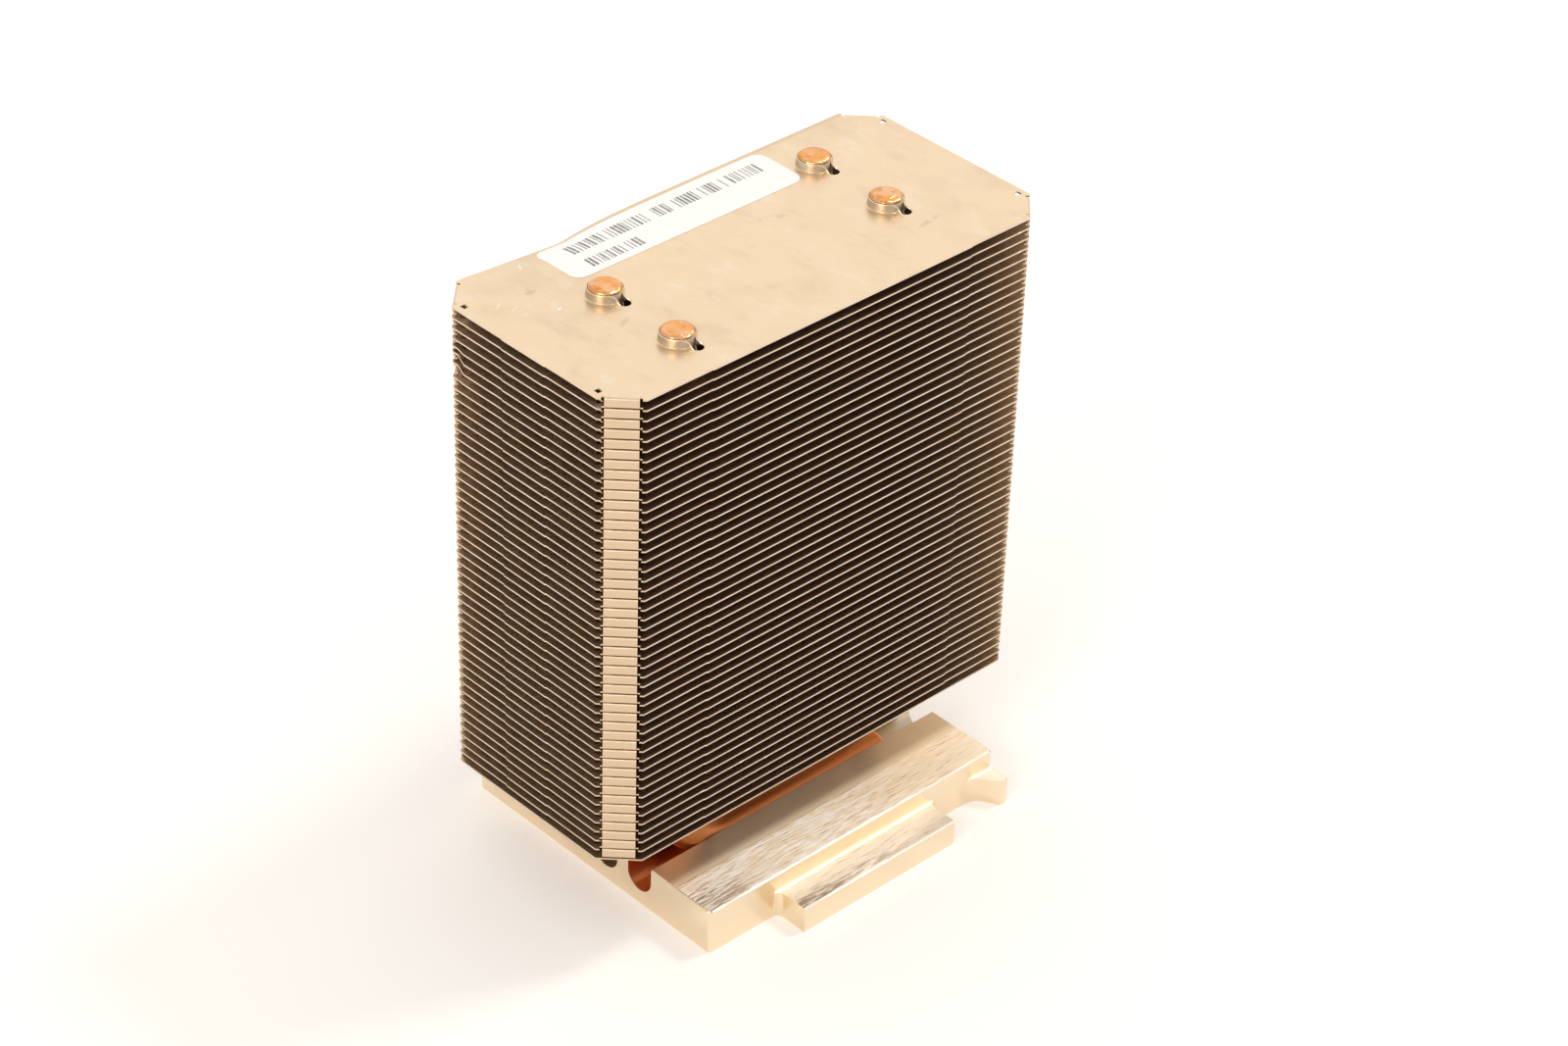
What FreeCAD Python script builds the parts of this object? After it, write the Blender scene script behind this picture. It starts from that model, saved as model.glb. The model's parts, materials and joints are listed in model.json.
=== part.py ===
import FreeCAD
import Part
import math
import os
import Sketcher

# Passive processor cooler for a rack or tower server: a solid metal foot, four L-shaped
# heat pipes that lie in its grooves, and a tall stack of folded sheet fins on their legs.
# Millimetres. The origin is the middle of the flat face under the foot, +Z is up, and the
# long side of the fins runs along X.

doc = FreeCAD.newDocument("ServerCooler")

# Sizes, each with its own cell
sizes = [
    ("base_length", 71.5, "foot, along X"),
    ("base_width", 59.0, "foot, along Y"),
    ("base_height", 9.3, "foot, thickness"),
    ("base_corner", 0.9, "upright corners of the foot"),
    ("edge_break", 0.3, "bevelled top edges of the foot and its lugs"),
    ("groove_floor", 3.0, "metal left under a groove"),
    ("groove_play", 0.1, "room for solder beside a pipe, each side"),
    ("lug_length", 38.0, "clip lug, along X"),
    ("lug_depth", 6.9, "clip lug, out from the foot"),
    ("lug_height", 5.4, "clip lugs and ears, thickness"),
    ("lug_root", 1.6, "hollow corner where a lug's end meets the foot"),
    ("ear_depth", 4.7, "corner ear, out from the foot"),
    ("ear_root", 5.1, "corner ear, length along the foot"),
    ("ear_tip", 1.9, "corner ear, length of its outer edge"),
    ("ear_hollow", 3.4, "hollow flank of the corner ear"),
    ("pipe_diameter", 6.0, "heat pipe"),
    ("pipe_pitch", 9.1, "from one pipe to the next, along Y"),
    ("pipe_spread", 28.6, "leg of a pipe from the middle, along X"),
    ("pipe_bend", 14.0, "bend of a pipe, at its axis"),
    ("pipe_run", 24.6, "closed end of the lying run, past the middle"),
    ("pipe_rise", 2.3, "pipe above the top fin"),
    ("pipe_crown", 0.7, "bevelled rim of a pipe's top"),
    ("pipe_nose", 1.6, "drawn-in closed end of the lying run"),
    ("stack_shift", 3.0, "middle of the fins and pipes from the middle of the foot, along Y"),
    ("stack_bottom", 21.1, "underside of the lowest fin"),
    ("fin_length", 101.0, "fin, along X"),
    ("fin_width", 48.5, "fin, along Y"),
    ("fin_corner", 5.8, "cut corner, along either side"),
    ("fin_thickness", 0.3, "fin sheet"),
    ("fin_pitch", 2.0, "from one fin to the next"),
    ("tab_inset", 0.85, "end of a folded tab from the end of the cut corner"),
    ("ear_inset", 0.5, "end of the flat corner beside the relief notch"),
    ("notch_depth", 0.45, "relief notch beside a tab"),
    ("bend_round", 0.45, "outer bend of a tab"),
    ("edge_step", 0.15, "middle part of the left and the front side stands proud"),
    ("step_along", 30.0, "half length of the proud part, long sides"),
    ("step_across", 5.35, "half length of the proud part, short sides"),
    ("peg_hole", 1.1, "square hole near each corner"),
    ("peg_hole_in", 1.65, "middle of the square hole from the short side of the fin"),
    ("peg_hole_back", 1.45, "middle of the square hole from the start of the cut corner"),
    ("collar_wall", 0.3, "drawn collar round a pipe"),
    ("collar_rise", 1.7, "drawn collar above its fin"),
    ("tail_reach", 4.2, "middle of the keyhole's small end from the pipe"),
    ("tail_turn", 12.0, "degrees the keyhole's tail leans towards +X"),
    ("tail_half", 0.85, "half width of the keyhole's neck"),
    ("tail_lobe", 1.1, "radius of the keyhole's small end"),
    ("tail_slope_start", 2.5, "where the collar starts to run out, from the pipe"),
    ("label_length", 53.0, "paper label, along X"),
    ("label_width", 12.2, "paper label, along Y"),
    ("label_corner", 2.4, "paper label, rounded corners"),
    ("label_thickness", 0.12, "paper label"),
    ("label_along", -2.6, "middle of the label from the middle of the fins, along X"),
    ("label_across", 17.1, "middle of the label from the middle of the fins, along Y"),
]
fin_count = 49
pipe_count = 4

sheet = doc.addObject("Spreadsheet::Sheet", "Sizes")
size = {}
row = 1
for name, value, note in sizes:
    sheet.set("A%d" % row, name)
    sheet.set("B%d" % row, str(value))
    sheet.set("C%d" % row, note)
    sheet.setAlias("B%d" % row, name)
    size[name] = value
    row += 1
doc.recompute()


# Helpers for bodies and sketches
def new_body(label):
    body = doc.addObject("PartDesign::Body", label)
    body.Label = label
    return body


def origin_part(body, role):
    for item in body.Origin.OriginFeatures:
        if item.Role == role:
            return item
    raise ValueError("no " + role)


def new_sketch(body, name, role, lift=None):
    sketch = body.newObject("Sketcher::SketchObject", name)
    sketch.AttachmentSupport = [(origin_part(body, role), "")]
    sketch.MapMode = "FlatFace"
    if lift:
        sketch.setExpression("AttachmentOffset.Base.z", lift)
    return sketch


def bind_points(sketch, points):
    # each point is (line, end, formula along, formula up), measured from the sketch's origin
    limits = []
    formulas = []
    for line, end, along, up in points:
        spot = sketch.getPoint(line, end)
        limits.append(Sketcher.Constraint("DistanceX", -1, 1, line, end, spot.x))
        formulas.append(along)
        limits.append(Sketcher.Constraint("DistanceY", -1, 1, line, end, spot.y))
        formulas.append(up)
    first = sketch.ConstraintCount
    sketch.addConstraint(limits)
    for step, formula in enumerate(formulas):
        sketch.setExpression("Constraints[%d]" % (first + step), formula)


def draw_outline(sketch, corners):
    # a closed outline of straight edges through the corners, each held by two formulas
    # the lines start round a circle, well apart, and move when the formulas take hold
    count = len(corners)
    first = sketch.GeometryCount
    reach = 40.0
    tilt = 0.37
    spots = []
    for step in range(count):
        turn = 2 * math.pi * (step + tilt) / count
        spots.append(FreeCAD.Vector(reach * math.cos(turn), reach * math.sin(turn), 0))
    edges = []
    joints = []
    for step in range(count):
        after = (step + 1) % count
        edges.append(Part.LineSegment(spots[step], spots[after]))
        joints.append(Sketcher.Constraint("Coincident", first + step, 2, first + after, 1))
    sketch.addGeometry(edges, False)
    sketch.addConstraint(joints)
    bind_points(sketch, [(first + step, 1, corners[step][0], corners[step][1]) for step in range(count)])


def draw_circles(sketch, centres, radius):
    # circles of one radius, each centre held by two formulas
    for along, up in centres:
        line = sketch.GeometryCount
        spot = FreeCAD.Vector(10.0 + 7.0 * line, 5.0, 0)
        sketch.addGeometry(Part.Circle(spot, FreeCAD.Vector(0, 0, 1), 3.0), False)
        bind_points(sketch, [(line, 3, along, up)])
        place = sketch.addConstraint(Sketcher.Constraint("Radius", line, 3.0))
        sketch.setExpression("Constraints[%d]" % place, radius)


def pad(body, name, sketch, length, downward=False):
    feature = body.newObject("PartDesign::Pad", name)
    feature.Profile = sketch
    feature.setExpression("Length", length)
    feature.Reversed = downward
    body.Tip = feature
    return feature


def cut_through(body, name, sketch):
    feature = body.newObject("PartDesign::Pocket", name)
    feature.Profile = sketch
    feature.Type = "ThroughAll"
    feature.Midplane = True
    body.Tip = feature
    return feature


def edges_where(feature, test):
    # names of the edges that pass a test on their two ends
    names = []
    for number, edge in enumerate(feature.Shape.Edges, start=1):
        ends = [vertex.Point for vertex in edge.Vertexes]
        if len(ends) == 2 and test(ends[0], ends[1]):
            names.append("Edge%d" % number)
    return names


def round_edges(body, name, base, names, radius):
    if not names:
        raise ValueError("nothing to round for " + name)
    feature = body.newObject("PartDesign::Fillet", name)
    feature.Base = (base, names)
    feature.setExpression("Radius", radius)
    body.Tip = feature
    return feature


def bevel_edges(body, name, base, names, width):
    if not names:
        raise ValueError("nothing to bevel for " + name)
    feature = body.newObject("PartDesign::Chamfer", name)
    feature.Base = (base, names)
    feature.setExpression("Size", width)
    body.Tip = feature
    return feature


def near(first, second):
    return abs(first - second) < 0.001


# The foot: a milled block with a clip lug on each long side and an ear at two corners
half_length = "Sizes.base_length / 2"
half_width = "Sizes.base_width / 2"
foot = new_body("base_block")
outline = new_sketch(foot, "BlockOutline", "XY_Plane")
draw_outline(outline, [
    ("-" + half_length, "-" + half_width),
    (half_length, "-" + half_width),
    (half_length, half_width),
    ("-" + half_length, half_width),
])
block = pad(foot, "Block", outline, "Sizes.base_height")
doc.recompute()

# Lugs and ears, drawn once at the front and once turned half round for the back
for side, name in ((-1, "Front"), (1, "Back")):
    lugs = new_sketch(foot, name + "Lugs", "XY_Plane")
    wall = "%d * Sizes.base_width / 2" % side
    inside = "%d * (Sizes.base_width / 2 - Sizes.lug_depth)" % side
    outer = "%d * (Sizes.base_width / 2 + Sizes.lug_depth)" % side
    lug_half = "%d * Sizes.lug_length / 2" % side
    draw_outline(lugs, [
        (lug_half, inside),
        (lug_half, outer),
        ("-1 * " + lug_half, outer),
        ("-1 * " + lug_half, inside),
    ])
    ear_outer = "%d * (Sizes.base_width / 2 + Sizes.ear_depth)" % side
    ear_inside = "%d * (Sizes.base_width / 2 - Sizes.ear_depth)" % side
    draw_outline(lugs, [
        ("%d * Sizes.base_length / 2" % -side, ear_inside),
        ("%d * Sizes.base_length / 2" % -side, ear_outer),
        ("%d * (Sizes.base_length / 2 - Sizes.ear_tip)" % -side, ear_outer),
        ("%d * (Sizes.base_length / 2 - Sizes.ear_root)" % -side, wall),
        ("%d * (Sizes.base_length / 2 - Sizes.ear_root)" % -side, ear_inside),
    ])
    block = pad(foot, name + "Ledges", lugs, "Sizes.lug_height")
    doc.recompute()

# Four round-bottomed grooves, open at both ends, one for each pipe
profile = new_sketch(foot, "GrooveSection", "YZ_Plane")
groove_radius = "(Sizes.pipe_diameter / 2 + Sizes.groove_play)"
first_pipe = "Sizes.stack_shift - 1.5 * Sizes.pipe_pitch"
radius = size["pipe_diameter"] / 2 + size["groove_play"]
middle = size["stack_shift"] - 1.5 * size["pipe_pitch"]
axis = size["groove_floor"] + radius
lid = size["base_height"] + 2.0
profile.addGeometry(Part.ArcOfCircle(Part.Circle(FreeCAD.Vector(middle, axis, 0), FreeCAD.Vector(0, 0, 1), radius),
                                     math.pi, 2 * math.pi), False)
profile.addGeometry(Part.LineSegment(FreeCAD.Vector(middle + radius, axis, 0),
                                     FreeCAD.Vector(middle + radius, lid, 0)), False)
profile.addGeometry(Part.LineSegment(FreeCAD.Vector(middle + radius, lid, 0),
                                     FreeCAD.Vector(middle - radius, lid, 0)), False)
profile.addGeometry(Part.LineSegment(FreeCAD.Vector(middle - radius, lid, 0),
                                     FreeCAD.Vector(middle - radius, axis, 0)), False)
profile.addConstraint([
    Sketcher.Constraint("Tangent", 0, 2, 1, 1),
    Sketcher.Constraint("Coincident", 1, 2, 2, 1),
    Sketcher.Constraint("Coincident", 2, 2, 3, 1),
    Sketcher.Constraint("Tangent", 3, 2, 0, 1),
    Sketcher.Constraint("Horizontal", 2),
    Sketcher.Constraint("Vertical", 1),
])
place = profile.addConstraint(Sketcher.Constraint("Radius", 0, radius))
profile.setExpression("Constraints[%d]" % place, groove_radius)
bind_points(profile, [(0, 3, first_pipe, "Sizes.groove_floor + " + groove_radius)])
place = profile.addConstraint(Sketcher.Constraint("DistanceY", -1, 1, 1, 2, lid))
profile.setExpression("Constraints[%d]" % place, "Sizes.base_height + 2")
before = block.Shape.Volume
groove = cut_through(foot, "Groove", profile)
doc.recompute()
grooves = foot.newObject("PartDesign::LinearPattern", "Grooves")
grooves.Originals = [groove]
grooves.Direction = (origin_part(foot, "Y_Axis"), [""])
grooves.setExpression("Length", "%d * Sizes.pipe_pitch" % (pipe_count - 1))
grooves.Occurrences = pipe_count
foot.Tip = grooves
doc.recompute()
print("grooves take", round(before - grooves.Shape.Volume, 1), "mm3")

# Hollow corners beside the lugs, rounded block corners, broken top edges
lug_end = size["lug_length"] / 2
wall_at = size["base_width"] / 2
block_end = size["base_length"] / 2
lug_top = size["lug_height"]
lug_face = wall_at + size["lug_depth"]


def upright(one, two):
    return near(one.x, two.x) and near(one.y, two.y)


roots = edges_where(grooves, lambda one, two: upright(one, two)
                    and near(abs(one.x), lug_end) and near(abs(one.y), wall_at))
hollow = round_edges(foot, "LugRoots", grooves, roots, "Sizes.lug_root")
doc.recompute()
flank_at = block_end - size["ear_root"]
necks = edges_where(hollow, lambda one, two: upright(one, two)
                    and near(abs(one.x), flank_at) and near(abs(one.y), wall_at))
hollow = round_edges(foot, "EarNecks", hollow, necks, "Sizes.ear_hollow")
doc.recompute()
corners = edges_where(hollow, lambda one, two: upright(one, two)
                      and near(abs(one.x), block_end) and abs(one.y) > wall_at - 0.001)
hollow = round_edges(foot, "BlockCorners", hollow, corners, "Sizes.base_corner")
doc.recompute()
rims = edges_where(hollow, lambda one, two: near(one.z, two.z) and near(one.y, two.y)
                   and (near(one.z, size["base_height"]) and near(abs(one.y), wall_at)
                        or near(one.z, lug_top) and near(abs(one.y), lug_face)))
bevel_edges(foot, "TopEdges", hollow, rims, "Sizes.edge_break")
doc.recompute()

# Heat pipes: a lying run in its groove, a bend and a leg up through the fins
pipe_radius = size["pipe_diameter"] / 2
run_level = "(Sizes.groove_floor + Sizes.pipe_diameter / 2)"
pipe_top = "(Sizes.stack_bottom + %d * Sizes.fin_pitch + Sizes.fin_thickness + Sizes.pipe_rise)" % (fin_count - 1)
leg = -size["pipe_spread"]
level = size["groove_floor"] + pipe_radius
bend = size["pipe_bend"]
top = (size["stack_bottom"] + (fin_count - 1) * size["fin_pitch"] + size["fin_thickness"] + size["pipe_rise"])
pipes = []
for number in range(1, pipe_count + 1):
    body = new_body("heat_pipe_%d" % number)
    path = new_sketch(body, "Path%d" % number, "XZ_Plane")
    path.addGeometry(Part.LineSegment(FreeCAD.Vector(leg, top, 0), FreeCAD.Vector(leg, level + bend, 0)), False)
    path.addGeometry(Part.ArcOfCircle(Part.Circle(FreeCAD.Vector(leg + bend, level + bend, 0),
                                                  FreeCAD.Vector(0, 0, 1), bend), math.pi, 1.5 * math.pi), False)
    path.addGeometry(Part.LineSegment(FreeCAD.Vector(leg + bend, level, 0),
                                      FreeCAD.Vector(size["pipe_run"], level, 0)), False)
    path.addConstraint([
        Sketcher.Constraint("Tangent", 0, 2, 1, 1),
        Sketcher.Constraint("Tangent", 1, 2, 2, 1),
        Sketcher.Constraint("Vertical", 0),
        Sketcher.Constraint("Horizontal", 2),
    ])
    place = path.addConstraint(Sketcher.Constraint("Radius", 1, bend))
    path.setExpression("Constraints[%d]" % place, "Sizes.pipe_bend")
    bind_points(path, [(0, 1, "-Sizes.pipe_spread", pipe_top), (2, 2, "Sizes.pipe_run", run_level)])
    section = new_sketch(body, "Section%d" % number, "XY_Plane", pipe_top)
    draw_circles(section, [("-Sizes.pipe_spread", "0")], "Sizes.pipe_diameter / 2")
    sweep = body.newObject("PartDesign::AdditivePipe", "Pipe%d" % number)
    sweep.Profile = section
    sweep.Spine = (path, ["Edge1", "Edge2", "Edge3"])
    body.Tip = sweep
    doc.recompute()
    rim = []
    for place, edge in enumerate(sweep.Shape.Edges, start=1):
        if edge.BoundBox.ZMin > top - 0.001:
            rim.append("Edge%d" % place)
    crown = bevel_edges(body, "Crown%d" % number, sweep, rim, "Sizes.pipe_crown")
    doc.recompute()
    nose = []
    for place, edge in enumerate(crown.Shape.Edges, start=1):
        if edge.BoundBox.XMin > size["pipe_run"] - 0.001:
            nose.append("Edge%d" % place)
    bevel_edges(body, "Nose%d" % number, crown, nose, "Sizes.pipe_nose")
    # every second pipe lies the other way round, so its leg stands at the other end
    if number % 2 == 0:
        body.Placement.Rotation = FreeCAD.Rotation(FreeCAD.Vector(0, 0, 1), 180)
    body.setExpression("Placement.Base.y", "Sizes.stack_shift + %.1f * Sizes.pipe_pitch" % (number - 2.5))
    pipes.append(body)
doc.recompute()

# Where the legs pass a fin, seen from above with the fin's middle at the origin
leg_spots = []
for number in range(1, pipe_count + 1):
    end = "-Sizes.pipe_spread" if number % 2 else "Sizes.pipe_spread"
    leg_spots.append((end, "%.1f * Sizes.pipe_pitch" % (number - 2.5)))

fin_half = "Sizes.fin_length / 2"
fin_side = "Sizes.fin_width / 2"
hole_sides = 6


def mirrored(points, along, across):
    # the same points in another quarter, in an order that keeps going round one way
    moved = [("%d * (%s)" % (along, x), "%d * (%s)" % (across, y)) for x, y in points]
    if along * across < 0:
        moved.reverse()
    return moved


def all_round(points):
    # one quarter's points repeated over the four quarters
    loop = []
    for along, across in ((1, 1), (-1, 1), (-1, -1), (1, -1)):
        loop += mirrored(points, along, across)
    return loop


def add_tabs(body, name):
    # a tab folded down from each cut corner, long enough to stand on the next fin
    drop = new_sketch(body, name, "XY_Plane")
    fold = "Sizes.fin_thickness / sqrt(2)"
    for along, across in ((1, 1), (-1, 1), (-1, -1), (1, -1)):
        draw_outline(drop, mirrored([
            (fin_half + " - Sizes.tab_inset", fin_side + " - Sizes.fin_corner + Sizes.tab_inset"),
            (fin_half + " - Sizes.fin_corner + Sizes.tab_inset", fin_side + " - Sizes.tab_inset"),
            (fin_half + " - Sizes.fin_corner + Sizes.tab_inset - " + fold,
             fin_side + " - Sizes.tab_inset - " + fold),
            (fin_half + " - Sizes.tab_inset - " + fold,
             fin_side + " - Sizes.fin_corner + Sizes.tab_inset - " + fold),
        ], along, across))
    return pad(body, name + "Drop", drop, "Sizes.fin_pitch - Sizes.fin_thickness", True)


def place_fin(body, number):
    body.setExpression("Placement.Base.y", "Sizes.stack_shift")
    body.setExpression("Placement.Base.z", "Sizes.stack_bottom + %d * Sizes.fin_pitch" % (number - 1))


# The covered fins: plain sheets with a six-sided opening whose flats touch each pipe
fins = []
for number in range(1, fin_count):
    body = new_body("fin_%02d" % number)
    sheet_shape = new_sketch(body, "Sheet%02d" % number, "XY_Plane")
    draw_outline(sheet_shape, all_round([
        (fin_half, fin_side + " - Sizes.fin_corner"),
        (fin_half + " - Sizes.fin_corner", fin_side),
    ]))
    for along, across in leg_spots:
        ring = []
        for side in range(hole_sides):
            turn = 2 * math.pi * side / hole_sides
            reach = 0.5 / math.cos(math.pi / hole_sides)
            ring.append(("%s + %.6f * Sizes.pipe_diameter" % (along, reach * math.cos(turn)),
                         "%s + %.6f * Sizes.pipe_diameter" % (across, reach * math.sin(turn))))
        draw_outline(sheet_shape, ring)
    pad(body, "Plate%02d" % number, sheet_shape, "Sizes.fin_thickness")
    # the lowest fin has nothing to stand on and keeps its corners bare
    if number > 1:
        add_tabs(body, "Tabs%02d" % number)
    place_fin(body, number)
    fins.append(body)
doc.recompute()

# The top fin in full: stepped sides, relief notches, folded tabs, peg holes and collars
body = new_body("fin_%02d" % fin_count)
sheet_shape = new_sketch(body, "TopSheet", "XY_Plane")
cut_corner = [
    (fin_half, fin_side + " - Sizes.fin_corner"),
    (fin_half + " - Sizes.ear_inset", fin_side + " - Sizes.fin_corner + Sizes.ear_inset"),
    (fin_half + " - Sizes.ear_inset - Sizes.notch_depth",
     fin_side + " - Sizes.fin_corner + Sizes.ear_inset - Sizes.notch_depth"),
    (fin_half + " - Sizes.tab_inset - Sizes.notch_depth",
     fin_side + " - Sizes.fin_corner + Sizes.tab_inset - Sizes.notch_depth"),
    (fin_half + " - Sizes.tab_inset", fin_side + " - Sizes.fin_corner + Sizes.tab_inset"),
    (fin_half + " - Sizes.fin_corner + Sizes.tab_inset", fin_side + " - Sizes.tab_inset"),
    (fin_half + " - Sizes.fin_corner + Sizes.tab_inset - Sizes.notch_depth",
     fin_side + " - Sizes.tab_inset - Sizes.notch_depth"),
    (fin_half + " - Sizes.fin_corner + Sizes.ear_inset - Sizes.notch_depth",
     fin_side + " - Sizes.ear_inset - Sizes.notch_depth"),
    (fin_half + " - Sizes.fin_corner + Sizes.ear_inset", fin_side + " - Sizes.ear_inset"),
    (fin_half + " - Sizes.fin_corner", fin_side),
]
short_step = [
    (fin_half + " + Sizes.edge_step", "Sizes.step_across"),
    (fin_half, "Sizes.step_across"),
]
long_step = [
    ("Sizes.step_along", fin_side),
    ("Sizes.step_along", fin_side + " + Sizes.edge_step"),
]
edge_loop = []
for along, across in ((1, 1), (-1, 1), (-1, -1), (1, -1)):
    # only the left and the front side have a proud middle part
    quarter = (short_step if along < 0 else []) + cut_corner + (long_step if across < 0 else [])
    edge_loop += mirrored(quarter, along, across)
draw_outline(sheet_shape, edge_loop)
hole_along = fin_half + " - Sizes.peg_hole_in"
hole_across = fin_side + " - Sizes.fin_corner - Sizes.peg_hole_back"
for along, across in ((1, 1), (-1, 1), (-1, -1), (1, -1)):
    draw_outline(sheet_shape, mirrored([
        (hole_along + " - Sizes.peg_hole / 2", hole_across + " - Sizes.peg_hole / 2"),
        (hole_along + " + Sizes.peg_hole / 2", hole_across + " - Sizes.peg_hole / 2"),
        (hole_along + " + Sizes.peg_hole / 2", hole_across + " + Sizes.peg_hole / 2"),
        (hole_along + " - Sizes.peg_hole / 2", hole_across + " + Sizes.peg_hole / 2"),
    ], along, across))
pad(body, "TopPlate", sheet_shape, "Sizes.fin_thickness")
doc.recompute()
tabs = add_tabs(body, "TopTabs")
doc.recompute()

# Keyhole collars: a ring drawn up round each pipe, open into a tail that ends in a small lobe
lean_along = "sin(Sizes.tail_turn * 1deg)"
lean_across = "cos(Sizes.tail_turn * 1deg)"


def tail_bar(along, across, half):
    # a bar from the pipe's middle to the lobe's, as wide as twice half
    near_end = (along, across)
    far_end = ("%s + Sizes.tail_reach * %s" % (along, lean_along),
               "%s - Sizes.tail_reach * %s" % (across, lean_across))
    bar = []
    for spot, side in ((near_end, -1), (far_end, -1), (far_end, 1), (near_end, 1)):
        bar.append(("%s + %d * (%s) * %s" % (spot[0], side, half, lean_across),
                    "%s + %d * (%s) * %s" % (spot[1], side, half, lean_along)))
    return bar


lobe_spots = []
for along, across in leg_spots:
    lobe_spots.append(("%s + Sizes.tail_reach * %s" % (along, lean_along),
                       "%s - Sizes.tail_reach * %s" % (across, lean_across)))
collar_top = "Sizes.fin_thickness + Sizes.collar_rise"
for name, half, ring_radius, lobe_radius, raised in (
        ("Collar", "Sizes.tail_half + Sizes.collar_wall", "Sizes.pipe_diameter / 2 + Sizes.collar_wall",
         "Sizes.tail_lobe + Sizes.collar_wall", True),
        ("Bore", "Sizes.tail_half", "Sizes.pipe_diameter / 2", "Sizes.tail_lobe", False)):
    rings = new_sketch(body, name + "Rings", "XY_Plane")
    draw_circles(rings, leg_spots, ring_radius)
    lobes = new_sketch(body, name + "Lobes", "XY_Plane")
    draw_circles(lobes, lobe_spots, lobe_radius)
    necks = new_sketch(body, name + "Necks", "XY_Plane")
    for along, across in leg_spots:
        draw_outline(necks, tail_bar(along, across, half))
    for part_name, shape in (("Ring", rings), ("Lobe", lobes), ("Neck", necks)):
        if raised:
            pad(body, name + part_name, shape, collar_top)
        else:
            cut_through(body, name + part_name, shape)
        doc.recompute()
    if raised:
        # the collar runs out to nothing along the tail
        for end, side in (("Left", -1), ("Right", 1)):
            slope = new_sketch(body, "RunOut" + end, "YZ_Plane", "%d * Sizes.pipe_spread" % side)
            for spot, (along, across) in enumerate(leg_spots):
                if (spot % 2 == 1) == (side > 0):
                    draw_outline(slope, [
                        (across + " - Sizes.tail_slope_start", "Sizes.fin_thickness + Sizes.collar_rise"),
                        (across + " - Sizes.tail_reach", "Sizes.fin_thickness"),
                        (across + " - Sizes.tail_reach - 2 * Sizes.tail_lobe", "Sizes.fin_thickness"),
                        (across + " - Sizes.tail_reach - 2 * Sizes.tail_lobe",
                         "Sizes.fin_thickness + 2 * Sizes.collar_rise"),
                        (across + " - Sizes.tail_slope_start", "Sizes.fin_thickness + 2 * Sizes.collar_rise"),
                    ])
            shave = body.newObject("PartDesign::Pocket", "RunOutCut" + end)
            shave.Profile = slope
            shave.Midplane = True
            shave.setExpression("Length", "2 * Sizes.pipe_diameter")
            body.Tip = shave
            doc.recompute()

# The outer bend where each tab turns down
corner_sum = (size["fin_length"] + size["fin_width"]) / 2 - size["fin_corner"]
tab_half = size["fin_corner"] - 2 * size["tab_inset"]


def is_fold(one, two):
    on_line = near(abs(one.x) + abs(one.y), corner_sum) and near(abs(two.x) + abs(two.y), corner_sum)
    return on_line and near(one.z, size["fin_thickness"]) and near(two.z, one.z) and near(abs(one.x - two.x), tab_half)


tip = body.Tip
folds = edges_where(tip, is_fold)
round_edges(body, "TabBends", tip, folds, "Sizes.bend_round")
place_fin(body, fin_count)
fins.append(body)
doc.recompute()

# A paper label on the top fin
label = new_body("label")
paper = new_sketch(label, "LabelOutline", "XY_Plane")
label_half = "Sizes.label_length / 2"
label_side = "Sizes.label_width / 2"
draw_outline(paper, [
    ("Sizes.label_along - " + label_half, "Sizes.label_across - " + label_side),
    ("Sizes.label_along + " + label_half, "Sizes.label_across - " + label_side),
    ("Sizes.label_along + " + label_half, "Sizes.label_across + " + label_side),
    ("Sizes.label_along - " + label_half, "Sizes.label_across + " + label_side),
])
sticker = pad(label, "LabelPaper", paper, "Sizes.label_thickness")
doc.recompute()
round_edges(label, "LabelCorners", sticker, edges_where(sticker, upright), "Sizes.label_corner")
label.setExpression("Placement.Base.y", "Sizes.stack_shift")
label.setExpression("Placement.Base.z",
                    "Sizes.stack_bottom + %d * Sizes.fin_pitch + Sizes.fin_thickness" % (fin_count - 1))
doc.recompute()

# Check everything, then write one file for each piece
for item in doc.Objects:
    if "Invalid" in item.State or "Error" in item.State:
        raise RuntimeError("failed: " + item.Label + " " + str(item.State))
pieces = [foot] + pipes + fins + [label]
for piece in pieces:
    if piece.Shape.isNull() or not piece.Shape.isValid() or len(piece.Shape.Solids) != 1:
        raise RuntimeError("bad shape: " + piece.Label)
os.makedirs("parts", exist_ok=True)
for piece in pieces:
    piece.Shape.exportStep(os.path.join("parts", piece.Label + ".step"))
whole = Part.makeCompound([piece.Shape for piece in pieces]).BoundBox
print("pieces", len(pieces), "box", round(whole.XLength, 2), round(whole.YLength, 2), round(whole.ZLength, 2))
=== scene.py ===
import json
import math
from functools import partial

import bmesh
import bpy
from mathutils import Matrix, Vector
from mathutils.geometry import delaunay_2d_cdt


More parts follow.
